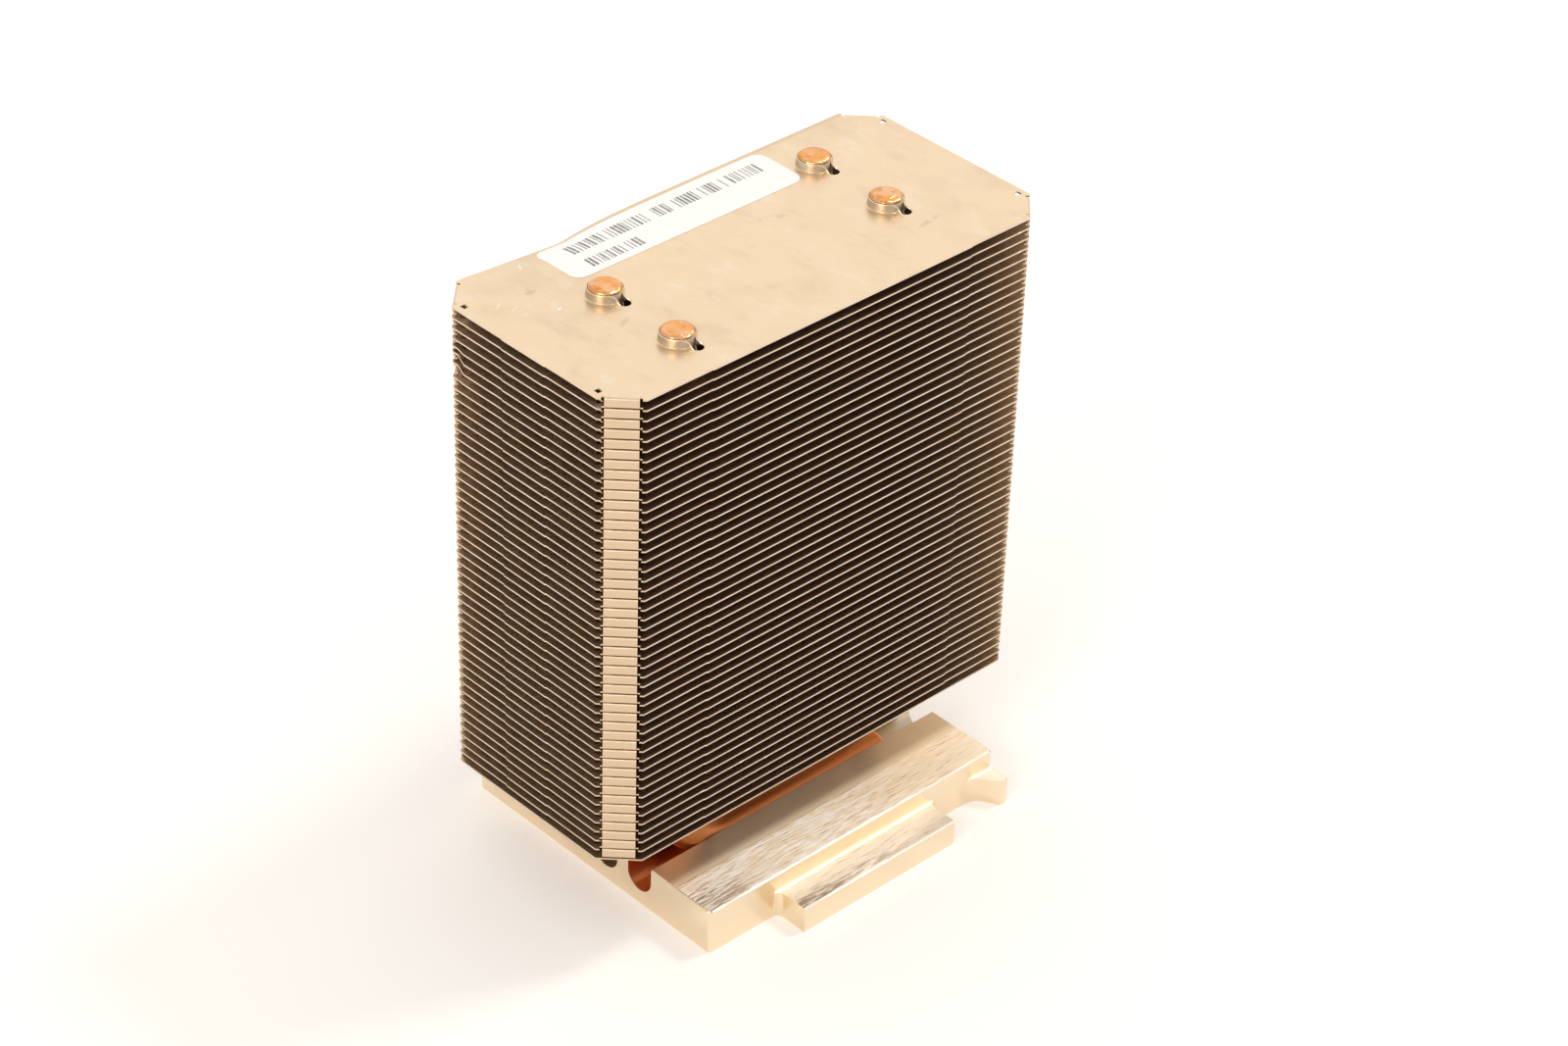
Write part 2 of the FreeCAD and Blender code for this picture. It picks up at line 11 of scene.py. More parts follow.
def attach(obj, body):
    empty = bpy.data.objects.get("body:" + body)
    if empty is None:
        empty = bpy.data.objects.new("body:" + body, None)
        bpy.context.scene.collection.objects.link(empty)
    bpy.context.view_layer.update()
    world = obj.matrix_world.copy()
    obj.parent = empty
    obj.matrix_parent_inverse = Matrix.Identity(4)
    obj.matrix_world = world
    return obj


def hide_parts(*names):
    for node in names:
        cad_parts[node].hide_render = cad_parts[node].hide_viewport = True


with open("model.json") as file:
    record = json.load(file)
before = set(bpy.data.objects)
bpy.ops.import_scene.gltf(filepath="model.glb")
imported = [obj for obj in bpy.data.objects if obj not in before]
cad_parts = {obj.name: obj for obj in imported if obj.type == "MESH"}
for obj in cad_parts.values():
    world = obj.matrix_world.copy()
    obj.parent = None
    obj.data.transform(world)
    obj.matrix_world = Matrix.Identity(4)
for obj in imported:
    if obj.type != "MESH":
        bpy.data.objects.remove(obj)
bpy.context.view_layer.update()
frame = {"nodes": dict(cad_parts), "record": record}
scene = bpy.context.scene
mm = 0.001
print("frame loaded:", len(frame["nodes"]), "nodes")


def newObject(name, data):
    made = bpy.data.objects.new(name, data)
    scene.collection.objects.link(made)
    return made


# node helpers
def feed(links, socket, value):
    # an output is linked to the socket, a number or colour is written on it
    if isinstance(value, bpy.types.NodeSocket):
        links.new(value, socket)
    else:
        socket.default_value = value


def addNode(nodes, links, kind, inputs):
    node = nodes.new(kind)
    for name, value in inputs.items():
        feed(links, node.inputs[name], value)
    return node


def emptyTree(owner):
    # the nodes and links of a material or a world, with nothing in them yet
    owner.use_nodes = True
    owner.node_tree.nodes.clear()
    return owner.node_tree.nodes, owner.node_tree.links


def newMaterial(name):
    material = bpy.data.materials.new(name)
    nodes, links = emptyTree(material)
    shader = nodes.new("ShaderNodeBsdfPrincipled")
    addNode(nodes, links, "ShaderNodeOutputMaterial", {"Surface": shader.outputs[0]})
    return material, nodes, links, shader


def mathNode(nodes, links, kind, first, second=0.0, third=0.0):
    node = nodes.new("ShaderNodeMath")
    node.operation = kind
    for place, value in enumerate((first, second, third)):
        feed(links, node.inputs[place], value)
    return node.outputs[0]


def productNode(nodes, links, *masks):
    # several masks multiplied, from left to right
    total = masks[0]
    for mask in masks[1:]:
        total = mathNode(nodes, links, "MULTIPLY", total, mask)
    return total


def rangeNode(nodes, links, value, low, high, outLow=0.0, outHigh=1.0):
    # a soft step: outLow up to low, outHigh from high on
    node = addNode(nodes, links, "ShaderNodeMapRange", {
        "Value": value, "From Min": low, "From Max": high, "To Min": outLow, "To Max": outHigh})
    node.interpolation_type = "SMOOTHSTEP"
    return node.outputs[0]


def mixColour(nodes, links, factor, first, second):
    node = nodes.new("ShaderNodeMix")
    node.data_type = "RGBA"
    for place, value in ((0, factor), (6, first), (7, second)):
        feed(links, node.inputs[place], value)
    return node.outputs[2]


def objectPlace(nodes, links, scale=(1, 1, 1), turn=(0, 0, 0), shift=(0, 0, 0)):
    # object coordinates in millimetres, stretched by scale
    coordinates = nodes.new("ShaderNodeTexCoord")
    return addNode(nodes, links, "ShaderNodeMapping", {
        "Vector": coordinates.outputs["Object"], "Location": shift, "Rotation": turn,
        "Scale": [1000 * s for s in scale]}).outputs[0]


def noiseNode(nodes, links, place, scale, detail, rough):
    return addNode(nodes, links, "ShaderNodeTexNoise", {
        "Vector": place, "Scale": scale, "Detail": detail, "Roughness": rough}).outputs["Fac"]


def chanceNode(nodes, links, number):
    # another value from 0 to 1 for each whole number
    node = nodes.new("ShaderNodeTexWhiteNoise")
    node.noise_dimensions = "1D"
    links.new(number, node.inputs["W"])
    return node.outputs["Value"]


def splitPlace(nodes, links, place):
    return addNode(nodes, links, "ShaderNodeSeparateXYZ", {0: place}).outputs


def joinPlace(nodes, links, x, y, z):
    return addNode(nodes, links, "ShaderNodeCombineXYZ", {"X": x, "Y": y, "Z": z}).outputs[0]


def addBumps(nodes, links, shader, *layers):
    # one bump on another, each a height, a strength and a distance in metres
    under = {}
    for height, strength, distance in layers:
        bump = addNode(nodes, links, "ShaderNodeBump", {
            "Height": height, "Strength": strength, "Distance": distance, **under})
        under = {"Normal": bump.outputs[0]}
    links.new(under["Normal"], shader.inputs["Normal"])


def markMask(nodes, links, along, across, marks, soft):
    # 1 inside a few short strokes, 0 elsewhere
    calc = partial(mathNode, nodes, links)
    total = None
    for x, y, turn, length, width in marks:
        cos, sin = math.cos(math.radians(turn)), math.sin(math.radians(turn))
        dx = calc("SUBTRACT", along, x)
        dy = calc("SUBTRACT", across, y)
        u = calc("MULTIPLY_ADD", dx, cos, calc("MULTIPLY", dy, sin))
        v = calc("MULTIPLY_ADD", dy, cos, calc("MULTIPLY", dx, -sin))
        u = calc("DIVIDE", u, length / 2)
        v = calc("DIVIDE", v, width / 2)
        far = calc("MULTIPLY_ADD", u, u, calc("MULTIPLY", v, v))
        mask = rangeNode(nodes, links, far, 1.0 - soft, 1.0, 1.0, 0.0)
        total = mask if total is None else calc("MAXIMUM", total, mask)
    return total


def nodeTools(nodes, links):
    # the helpers that every material uses, bound to its own tree
    helpers = (mathNode, productNode, rangeNode, mixColour, objectPlace, noiseNode, splitPlace)
    fall = partial(rangeNode, nodes, links, outLow=1.0, outHigh=0.0)
    return [partial(helper, nodes, links) for helper in helpers] + [fall]


# one fin, in millimetres
finShape = {
    "length": 101.0, "width": 48.5, "corner": 5.8, "sheet": 0.3, "pitch": 2.0,
    "lowest": 21.1, "shift": 3.0, "count": 49,
    "edgeStep": 0.15, "stepAlong": 30.0, "stepAcross": 5.35, "stepSlope": 0.25,
    "tabFrom": 1.2, "earTo": 0.7, "notch": 0.75, "bend": 0.5, "tabGap": 0.24, "tabEase": 0.05,
    "pegHole": 1.1, "pegIn": 1.65, "pegBack": 1.45,
}

# keyhole collars of the fins
collarShape = {
    "spread": 28.6, "pitch": 9.1, "radius": 3.0, "wall": 0.3, "rise": 1.7, "foot": 0.25, "apron": 0.06,
    "reach": 4.2, "turn": math.radians(12), "neck": 0.85, "lobe": 1.1, "slopeFrom": 2.4, "easedBelow": -2.2,
}

# fin sheet: warm satin nickel, whiter where it was cut, duller deep in the stack and browner there with
# painted shade
finLook = {
    "colour": (0.90, 0.715, 0.50, 1),
    # brown for stains, smears, specks and rubs, and also painted shade on the turned-down back edge and on
    # the tabs
    "stainAndShade": (0.66, 0.49, 0.33, 1),
    "cut": (0.76, 0.67, 0.595, 1),
    # the sheet's colour darkened: painted shade on the folded tabs, and the duller patches along the cut
    # edges
    "tab": (0.68, 0.525, 0.365, 1),
    # inner and rim: painted shade deep between the fins, and painted light paler towards the open ends
    "inner": (0.47, 0.32, 0.22, 1),
    "rim": (0.74, 0.59, 0.40, 1),
    "collar": (0.62, 0.53, 0.40, 1),
    # whitish for scratches and smears, and for painted glints on the nicks
    "scratchAndGlint": (1.0, 0.97, 0.92, 1),
    "roughness": 0.33, "foldShade": 0.42, "collarShare": 0.85, "rubStain": 0.55,
    "tabChance": 0.22, "tabLine": 0.35,
    # heights of the top fin's sheet and of its collars, and where the front and back edges are
    "topFrom": 115.55, "collarFrom": (117.43, 117.6), "frontFrom": -20.5,
    "foldAcross": (26.1, 26.7), "foldAlong": (-24.0, -14.0),
    # scratches on the top fin: middle x and y, turn in degrees, length, width
    "scratches": [
        (-33.4, 24.0, 62, 3.2, 0.30), (-32.4, 23.7, -28, 2.2, 0.20), (-42.6, 11.5, 15, 1.6, 0.22),
        (-37.3, 9.2, 20, 1.2, 0.7), (-44.5, 16.5, 35, 3.4, 0.16), (-43.0, 14.0, 20, 2.6, 0.14),
        (-29.5, 3.6, 35, 0.9, 0.4), (-24.5, 7.2, 0, 0.6, 0.3), (-39.0, 6.5, 80, 1.0, 0.13),
        (-28.5, -9.0, 30, 1.1, 0.16), (5.0, -3.0, 50, 1.3, 0.10), (22.0, -14.0, 20, 1.8, 0.10),
        (38.5, 9.0, 75, 1.5, 0.10)],
    # nicks in the front edges, with painted glints on them: middle x and height, turn, length, width
    "nickGlints": [
        (-17.6, 39.25, 0, 1.0, 0.8), (-19.3, 35.25, 0, 1.4, 0.7), (-20.0, 33.25, 0, 1.5, 0.7),
        (-15.5, 29.25, 0, 1.3, 0.7), (-21.5, 31.25, 0, 1.3, 0.7), (-30.6, 29.25, 0, 1.2, 0.7),
        (42.1, 115.25, 0, 0.9, 0.8), (42.4, 111.25, 0, 0.9, 0.8), (26.8, 109.25, 0, 0.9, 0.8),
        (26.7, 107.25, 0, 0.9, 0.8)],
    # faint dark rub marks: middle x and y, turn, length, width
    "rubs": [
        (-33.5, -1.5, 20, 9.0, 1.8), (-30.0, -13.5, -15, 7.0, 2.0), (-38.0, 16.0, 35, 6.0, 2.2),
        (30.5, -10.5, 10, 8.0, 1.6), (10.0, 8.0, -20, 7.0, 2.4)],
}


def finMaterial():
    material, nodes, links, shader = newMaterial("nickelSheet")
    calc, product, ramp, mix, stretched, noise, split, fall = nodeTools(nodes, links)
    place = stretched()
    along, across, height = split(place)
    geometry = nodes.new("ShaderNodeNewGeometry")
    nx, ny, nz = split(geometry.outputs["True Normal"])
    flat = calc("ABSOLUTE", nz)
    sideways = calc("MAXIMUM", calc("ABSOLUTE", nx), calc("ABSOLUTE", ny))
    clouds = noise(place, 0.055, 4, 0.6)
    specks = noise(place, 0.6, 3, 0.6)
    fine = noise(stretched((1, 6, 3), (0, 0, 0.3)), 0.5, 4, 0.6)
    smears = noise(stretched((1.0, 0.55, 1.0), (0, 0, 0.5)), 0.19, 5, 0.68)
    colour = mix(ramp(clouds, 0.48, 0.78, 0.0, 0.34), finLook["colour"], finLook["stainAndShade"])
    colour = mix(ramp(smears, 0.50, 0.74, 0.0, 0.34), colour, finLook["stainAndShade"])
    colour = mix(ramp(smears, 0.30, 0.44, 0.22, 0.0), colour, finLook["scratchAndGlint"])
    colour = mix(ramp(specks, 0.66, 0.80, 0.0, 0.30), colour, finLook["stainAndShade"])
    # the back edge of the top fin turns down a little, and is painted browner there: painted shade
    fold = product(ramp(across, *finLook["foldAcross"]), ramp(along, *finLook["foldAlong"]))
    colour = mix(product(fold, finLook["foldShade"]), colour, finLook["stainAndShade"])
    # painted shade on the flat faces under the top fin, with painted light making them paler towards both
    # ends
    covered = calc("MAXIMUM", calc("LESS_THAN", height, finLook["topFrom"]), calc("LESS_THAN", nz, -0.5))
    inside = product(ramp(flat, 0.6, 0.9), covered)
    paler = calc("MAXIMUM", fall(along, -48.9, -48.0), ramp(along, 15.0, 49.0))
    patches = ramp(noise(stretched((1, 1, 0.25)), 0.5, 2, 0.5), 0.35, 0.65, 0.55, 1.0)
    inner = mix(product(paler, patches), finLook["inner"], finLook["rim"])
    colour = mix(inside, colour, inner)
    # cut edges: whiter, brighter and duller by turns along the sheet
    cut = product(ramp(sideways, 0.88, 0.97), fall(flat, 0.2, 0.5))
    patchy = noise(stretched((0.22, 0.22, 6.0)), 1.0, 3, 0.6)
    edge = mix(ramp(patchy, 0.35, 0.62), finLook["tab"], finLook["cut"])
    colour = mix(cut, colour, edge)
    # the drawn collars are duller than the sheet
    collar = product(ramp(height, *finLook["collarFrom"]), fall(flat, 0.3, 0.6))
    colour = mix(product(collar, finLook["collarShare"]), colour, finLook["collar"])
    # painted shade on the tabs: each tab painted a little darker at random, as if it takes the light
    # differently, with a darker line under the bend and darker where it meets the next fin; brushed streaks
    # darken them too
    above = calc("SUBTRACT", height, finShape["lowest"] + finShape["sheet"])
    level = calc("DIVIDE", above, finShape["pitch"])
    inTab = product(fall(flat, 0.1, 0.4), fall(sideways, 0.75, 0.8))
    share = calc("FRACT", level)
    colour = mix(inTab, colour, finLook["tab"])
    tabShadeAndBrushing = product(chanceNode(nodes, links, calc("FLOOR", level)), finLook["tabChance"])
    line = product(ramp(share, 0.60, 0.66), fall(share, 0.68, 0.74))
    tabShadeAndBrushing = calc("MULTIPLY_ADD", line, finLook["tabLine"], tabShadeAndBrushing)
    tabShadeAndBrushing = calc("ADD", tabShadeAndBrushing, ramp(share, 0.05, 0.30, 0.30, 0.0))
    brushed = noise(stretched((4.0, 4.0, 0.9)), 1.0, 3, 0.6)
    tabShadeAndBrushing = calc("ADD", tabShadeAndBrushing, ramp(brushed, 0.42, 0.62, 0.0, 0.22))
    colour = mix(product(tabShadeAndBrushing, inTab), colour, finLook["stainAndShade"])
    # painted glints: small bright nicks in the front edges, painted white
    front = product(cut, calc("LESS_THAN", across, finLook["frontFrom"]))
    nickGlints = product(front, markMask(nodes, links, along, height, finLook["nickGlints"], 0.7))
    colour = mix(nickGlints, colour, finLook["scratchAndGlint"])
    # marks on the top fin
    onTop = product(ramp(nz, 0.8, 0.9), calc("GREATER_THAN", height, finLook["topFrom"]))
    rubs = markMask(nodes, links, along, across, finLook["rubs"], 1.0)
    rubs = product(rubs, onTop, ramp(specks, 0.45, 0.62))
    colour = mix(product(rubs, finLook["rubStain"]), colour, finLook["stainAndShade"])
    scratches = product(markMask(nodes, links, along, across, finLook["scratches"], 1.0), onTop)
    hair = noise(stretched((0.5, 9, 9), (0, 0, 0.9)), 0.35, 2, 0.5)
    hair = ramp(hair, 0.745, 0.775, 0.0, 0.4)
    colour = mix(calc("MAXIMUM", scratches, hair), colour, finLook["scratchAndGlint"])
    links.new(colour, shader.inputs["Base Color"])
    shader.inputs["Metallic"].default_value = 1.0
    rough = calc("MULTIPLY_ADD", fine, 0.14, finLook["roughness"] - 0.07)
    for mask, more in ((inside, 0.10), (collar, 0.12), (nickGlints, 0.4), (scratches, 0.3)):
        rough = calc("MULTIPLY_ADD", mask, more, rough)
    links.new(rough, shader.inputs["Roughness"])
    addBumps(nodes, links, shader, (clouds, 0.5, 0.0006), (fine, 0.12, 0.00008))
    return material


# foot: finely milled streaks along X on the faces that look up, smooth satin ends
footLook = {
    "colour": (0.90, 0.76, 0.56, 1),
    "deep": (0.44, 0.32, 0.22, 1),
    # shine: painted highlight on the milled streaks, the lug's root and the rounded edges
    "shine": (1.0, 0.97, 0.92, 1),
    "lug": (0.76, 0.69, 0.60, 1),
    "groove": (0.80, 0.42, 0.20, 1),
    "empty": (0.64, 0.55, 0.41, 1),
    "milling": 0.00016,
    "brushed": 0.8, "lugShare": 0.45, "rootShine": 0.9,
    # y of the painted shadow edge of the stack on the foot top, y of the painted highlight line at the lug's
    # root, height over the lug
    "stackShadowEdge": (-20.5, -20.0), "rootLine": (-30.15, -29.85), "lugBelow": 7.0,
    # grooves: half width, floor and top heights, ends along x, and where the pipes in them stop
    "grooveHalf": (3.12, 3.2), "grooveFloor": (2.5, 2.9), "grooveTop": (8.6, 9.2),
    "grooveEnd": 35.6, "noseAt": (24.0, 26.0),
}


def footMaterial():
    material, nodes, links, shader = newMaterial("milledNickel")
    calc, product, ramp, mix, stretched, noise, split, fall = nodeTools(nodes, links)
    place = stretched()
    along, across, height = split(place)
    streaks = noise(stretched((0.27, 3.0, 3.0)), 1.0, 3, 0.6)
    wide = noise(stretched((0.07, 0.9, 0.9), shift=(1.7, 0.4, 0)), 1.0, 3, 0.6)
    geometry = nodes.new("ShaderNodeNewGeometry")
    endways, _, up = split(geometry.outputs["True Normal"])
    level = ramp(up, 0.80, 0.97)
    both = calc("MULTIPLY_ADD", streaks, 0.7, product(wide, 0.3))
    dark = ramp(both, 0.35, 0.45, 0.65, 0.0)
    # the near left corner and the lug's front half carry more dark streaks
    nearCorner = product(fall(along, -33.0, -20.0), fall(across, -25.0, -21.0))
    lugFront = product(fall(across, -34.2, -33.4), ramp(along, -6.0, 12.0, 1.0, 0.15))
    streaky = calc("MAXIMUM", nearCorner, lugFront)
    dark = calc("MAXIMUM", dark, product(streaky, fall(both, 0.44, 0.57)))
    # painted highlight on the milled streaks, and painted shadow of the stack: behind its edge the highlight
    # stops and the dark streaks weaken; the highlight fades to the right and down on the lug
    paintedHighlight = ramp(both, 0.47, 0.57, 0.0, 0.95)
    unshaded = fall(across, *footLook["stackShadowEdge"])
    dark = product(dark, calc("MULTIPLY_ADD", unshaded, 0.85, 0.15))
    fading = product(ramp(along, -6.0, 30.0, 1.0, 0.35), ramp(height, 6.0, 8.0, 0.3, 1.0))
    paintedHighlight = product(paintedHighlight, product(unshaded, fading))
    clouds = noise(place, 0.06, 3, 0.5)
    colour = mix(ramp(clouds, 0.45, 0.75, 0.0, 0.10), footLook["colour"], footLook["deep"])
    # painted shade: the lug's top is painted duller and greyer than the foot's top
    onLug = product(level, calc("LESS_THAN", height, footLook["lugBelow"]))
    colour = mix(product(onLug, footLook["lugShare"]), colour, footLook["lug"])
    colour = mix(product(dark, level), colour, footLook["deep"])
    # painted highlight: the lit streaks mixed towards shine
    colour = mix(product(paintedHighlight, level), colour, footLook["shine"])
    # painted highlight: a bright line where the lug meets the front of the foot
    rootLine = product(onLug, ramp(across, *footLook["rootLine"]))
    colour = mix(product(rootLine, footLook["rootShine"]), colour, footLook["shine"])
    # bright edges between the level and the upright faces: painted highlight along the rounded edges, and
    # wear
    edgeHighlightAndWear = product(ramp(up, 0.2, 0.4), fall(up, 0.90, 0.98), fall(calc("ABSOLUTE", endways), 0.1, 0.3),
                   ramp(wide, 0.35, 0.55, 0.5, 1.0))
    colour = mix(edgeHighlightAndWear, colour, footLook["shine"])
    # the grooves are coppery: solder, and painted reflection of the pipes in them
    pitch, shift = collarShape["pitch"], finShape["shift"]
    row = calc("DIVIDE", calc("SUBTRACT", across, shift - 2.0 * pitch), pitch)
    off = calc("ABSOLUTE", calc("SUBTRACT", calc("FRACT", row), 0.5))
    groove = product(fall(off, *[half / pitch for half in footLook["grooveHalf"]]),
                     ramp(height, *footLook["grooveFloor"]), ramp(height, *footLook["grooveTop"], 1.0, 0.2),
                     calc("LESS_THAN", calc("ABSOLUTE", along), footLook["grooveEnd"]),
                     calc("LESS_THAN", calc("ABSOLUTE", calc("SUBTRACT", across, shift)), 2.0 * pitch))
    # past the closed end of its pipe a groove is empty, and is painted darker and greyer there: painted shade
    # inside the groove
    turned = calc("FLOORED_MODULO", calc("FLOOR", row), 2.0)
    toNose = product(along, calc("MULTIPLY_ADD", turned, -2.0, 1.0))
    lining = mix(ramp(toNose, *footLook["noseAt"]), footLook["groove"], footLook["empty"])
    colour = mix(groove, colour, lining)
    links.new(colour, shader.inputs["Base Color"])
    shader.inputs["Metallic"].default_value = 1.0
    rough = ramp(level, 0.0, 1.0, 0.24, 0.48)
    links.new(calc("MULTIPLY_ADD", edgeHighlightAndWear, 0.10, rough), shader.inputs["Roughness"])
    # the highlight is drawn out across the milling; the tangent is tipped so that no face lies along it
    shader.inputs["Anisotropic"].default_value = footLook["brushed"]
    shader.inputs["Anisotropic Rotation"].default_value = 0.25
    links.new(joinPlace(nodes, links, 1.0, 0.0, 0.01), shader.inputs["Tangent"])
    milled = product(level, ramp(across, *footLook["stackShadowEdge"], 1.0, 0.12), fading)
    grain = noise(place, 2.2, 3, 0.6)
    cuts = product(streaks, milled)
    addBumps(nodes, links, shader, (cuts, 1.0, footLook["milling"]), (grain, 0.08, 0.00006))
    return material


# heat pipes: copper along the run, tinned grey round the top, crinkled bright copper on the crown
pipeLook = {
    "copper": (0.80, 0.33, 0.12, 1),
    "crown": (0.90, 0.41, 0.13, 1),
    "pale": (0.95, 0.54, 0.30, 1),
    "tinned": (0.76, 0.67, 0.53, 1),
    "solder": (0.52, 0.44, 0.33, 1),
    "tinnedFrom": (114.0, 116.0),
    "crownFrom": (118.93, 119.17),
    "solderAlong": (6.0, 12.0), "solderAcross": (-7.7, -7.5), "solderTo": (20.0, 24.0),
}


def pipeMaterial():
    material, nodes, links, shader = newMaterial("copperPipe")
    _, product, ramp, mix, stretched, noise, split, _ = nodeTools(nodes, links)
    place = stretched()
    along, across, height = split(place)
    tinned = ramp(height, *pipeLook["tinnedFrom"])
    # behind the first pipe, the far ends are smeared with solder
    solder = product(ramp(along, *pipeLook["solderAlong"]), ramp(across, *pipeLook["solderAcross"]),
                     ramp(height, *pipeLook["solderTo"], 0.9, 0.0))
    crown = ramp(height, *pipeLook["crownFrom"])
    clouds = noise(place, 0.35, 4, 0.6)
    crinkle = noise(place, 0.55, 1.5, 0.4)
    colour = mix(tinned, pipeLook["copper"], pipeLook["tinned"])
    colour = mix(solder, colour, pipeLook["solder"])
    top = mix(ramp(clouds, 0.42, 0.62), pipeLook["crown"], pipeLook["pale"])
    colour = mix(crown, colour, top)
    links.new(colour, shader.inputs["Base Color"])
    shader.inputs["Metallic"].default_value = 1.0
    links.new(ramp(crown, 0.0, 1.0, 0.42, 0.24), shader.inputs["Roughness"])
    addBumps(nodes, links, shader, (product(crinkle, crown), 1.0, 0.0006), (clouds, 0.15, 0.0002))
    return material


# label: white paper with two rows of plain bars, each from x, to x, from y, to y
labelLook = {
    "paper": (0.93, 0.93, 0.91, 1),
    "ink": (0.16, 0.15, 0.15, 1),
    "barPitch": 0.27, "barsLeftOut": 0.36,
    "rows": [(-24.6, 20.2, 20.7, 23.9), (-24.2, -12.0, 15.6, 18.4)],
}


def labelMaterial():
    material, nodes, links, shader = newMaterial("labelPaper")
    calc, product, ramp, mix, stretched, noise, split, _ = nodeTools(nodes, links)
    place = stretched()
    along, across, _ = split(place)
    cell = calc("FLOOR", calc("DIVIDE", along, labelLook["barPitch"]))
    # every third cell stays white, so that the bars stay thin
    inked = calc("GREATER_THAN", calc("FLOORED_MODULO", cell, 3.0), 0.5)
    bars = product(inked, calc("GREATER_THAN", chanceNode(nodes, links, cell), labelLook["barsLeftOut"]))
    printed = None
    for left, right, low, high in labelLook["rows"]:
        row = product(calc("GREATER_THAN", along, left), calc("LESS_THAN", along, right),
                      calc("GREATER_THAN", across, low), calc("LESS_THAN", across, high))
        printed = row if printed is None else calc("MAXIMUM", printed, row)
    ink = product(printed, bars, ramp(noise(place, 1.4, 2, 0.5), 0.3, 0.6, 0.65, 0.92))
    fibre = noise(place, 5.0, 3, 0.6)
    paper = mix(ramp(fibre, 0.4, 0.7, 0.0, 0.06), labelLook["paper"], labelLook["ink"])
    links.new(mix(ink, paper, labelLook["ink"]), shader.inputs["Base Color"])
    shader.inputs["Roughness"].default_value = 0.42
    addBumps(nodes, links, shader, (fibre, 0.1, 0.00005))
    return material


materials = {
    "fin_sheet": finMaterial(),
    "foot_metal": footMaterial(),
    "pipe_copper": pipeMaterial(),
    "label_paper": labelMaterial(),
}
for entry in frame["record"]["subparts"]:
    for slot in frame["nodes"][entry["node"]].material_slots:
        slot.material = materials[entry["material_slot"]]
print("materials made")


# the dent in the far edge of the top fin
dent = {"edge": 24.25, "from": -43.0, "deepest": -21.5, "back": 6.5, "depth": 1.45, "reach": 7.0}


def dentDepth(x, y):
    # how far the back edge of the top fin is pushed down, from places relative to its middle
    if x < dent["deepest"]:
        share = max(0.0, (x - dent["from"]) / (dent["deepest"] - dent["from"])) ** 0.9
    else:
        share = math.exp(-(x - dent["deepest"]) / dent["back"])
    inward = (dent["edge"] - y) / dent["reach"]
    return dent["depth"] * share * max(0.0, 1.0 - max(0.0, inward)) ** 2


def keyholeLoop(grow, ringSteps):
    # outline of ring, neck and lobe round a pipe, grown outwards, with its tail towards -Y
    neckSteps, lobeSteps = 3, max(6, ringSteps // 3)
    ring = collarShape["radius"] + grow
    lobe = collarShape["lobe"] + grow
    half = collarShape["neck"] + grow
    ringOpen = math.asin(half / ring)
    lobeOpen = math.asin(half / lobe)
    loop = []
    for step in range(ringSteps + 1):
        turn = -math.pi / 2 + ringOpen + (2 * math.pi - 2 * ringOpen) * step / ringSteps
        loop.append((ring * math.cos(turn), ring * math.sin(turn)))
    top = -ring * math.cos(ringOpen)
    low = -collarShape["reach"] + lobe * math.cos(lobeOpen)
    for step in range(1, neckSteps):
        loop.append((-half, top + (low - top) * step / neckSteps))
    for step in range(lobeSteps + 1):
        turn = math.pi / 2 + lobeOpen + (2 * math.pi - 2 * lobeOpen) * step / lobeSteps
        loop.append((lobe * math.cos(turn), -collarShape["reach"] + lobe * math.sin(turn)))
    for step in range(1, neckSteps):
        loop.append((half, low + (top - low) * step / neckSteps))
    # the corners where ring and neck meet are softened, and the ring itself is left alone
    for _ in range(2):
        eased = []
        for place, (x, y) in enumerate(loop):
            (x1, y1), (x2, y2) = loop[place - 1], loop[(place + 1) % len(loop)]
            share = 0.5 if y < collarShape["easedBelow"] else 0.0
            eased.append((x + share * ((x1 + x2) / 2 - x), y + share * ((y1 + y2) / 2 - y)))
        loop = eased
    return loop


def keyholePlace(number, x, y):
    # from a keyhole's own middle to its place on the fin, its tail turned a little
    leanX, leanY = math.sin(collarShape["turn"]), math.cos(collarShape["turn"])
    midX = collarShape["spread"] * (1 if number % 2 else -1)
    midY = (number - 1.5) * collarShape["pitch"]
    return midX + x * leanY - y * leanX, midY + x * leanX + y * leanY


def collarRings(number, ringSteps, fine):
    # the section of a drawn collar carried round its keyhole: outwards, fixed height, share of the rise
    wall, foot, sheet = collarShape["wall"], collarShape["foot"], finShape["sheet"]
    section = [(wall + foot, sheet, 0.0)]
    if fine:
        section += [(wall + 0.3 * foot, sheet + 0.02, 0.04), (wall, sheet + 0.02, 0.13)]
    section += [(wall, sheet, 0.93), (wall - 0.09, sheet, 1.0), (0.07, sheet, 1.0), (0.0, sheet, 0.93),
                (0.0, 0.2, 0.0), (0.1, 0.05, 0.0), (wall + foot, 0.0, 0.0)]
    rings = []
    for grow, fixed, share in section:
        ring = []
        for x, y in keyholeLoop(grow, ringSteps):
            slope = (-y - collarShape["slopeFrom"]) / (collarShape["reach"] - collarShape["slopeFrom"])
            rise = collarShape["rise"] * (1 - min(1.0, max(0.0, slope))) ** 1.3
            ring.append((*keyholePlace(number, x, y), fixed + share * rise))
        rings.append(ring)
    return rings


def insideLoop(loop, x, y):
    inside = False
    for place in range(len(loop)):
        x1, y1 = loop[place - 1]
        x2, y2 = loop[place]
        if (y1 > y) != (y2 > y) and x < x1 + (y - y1) * (x2 - x1) / (y2 - y1):
            inside = not inside
    return inside


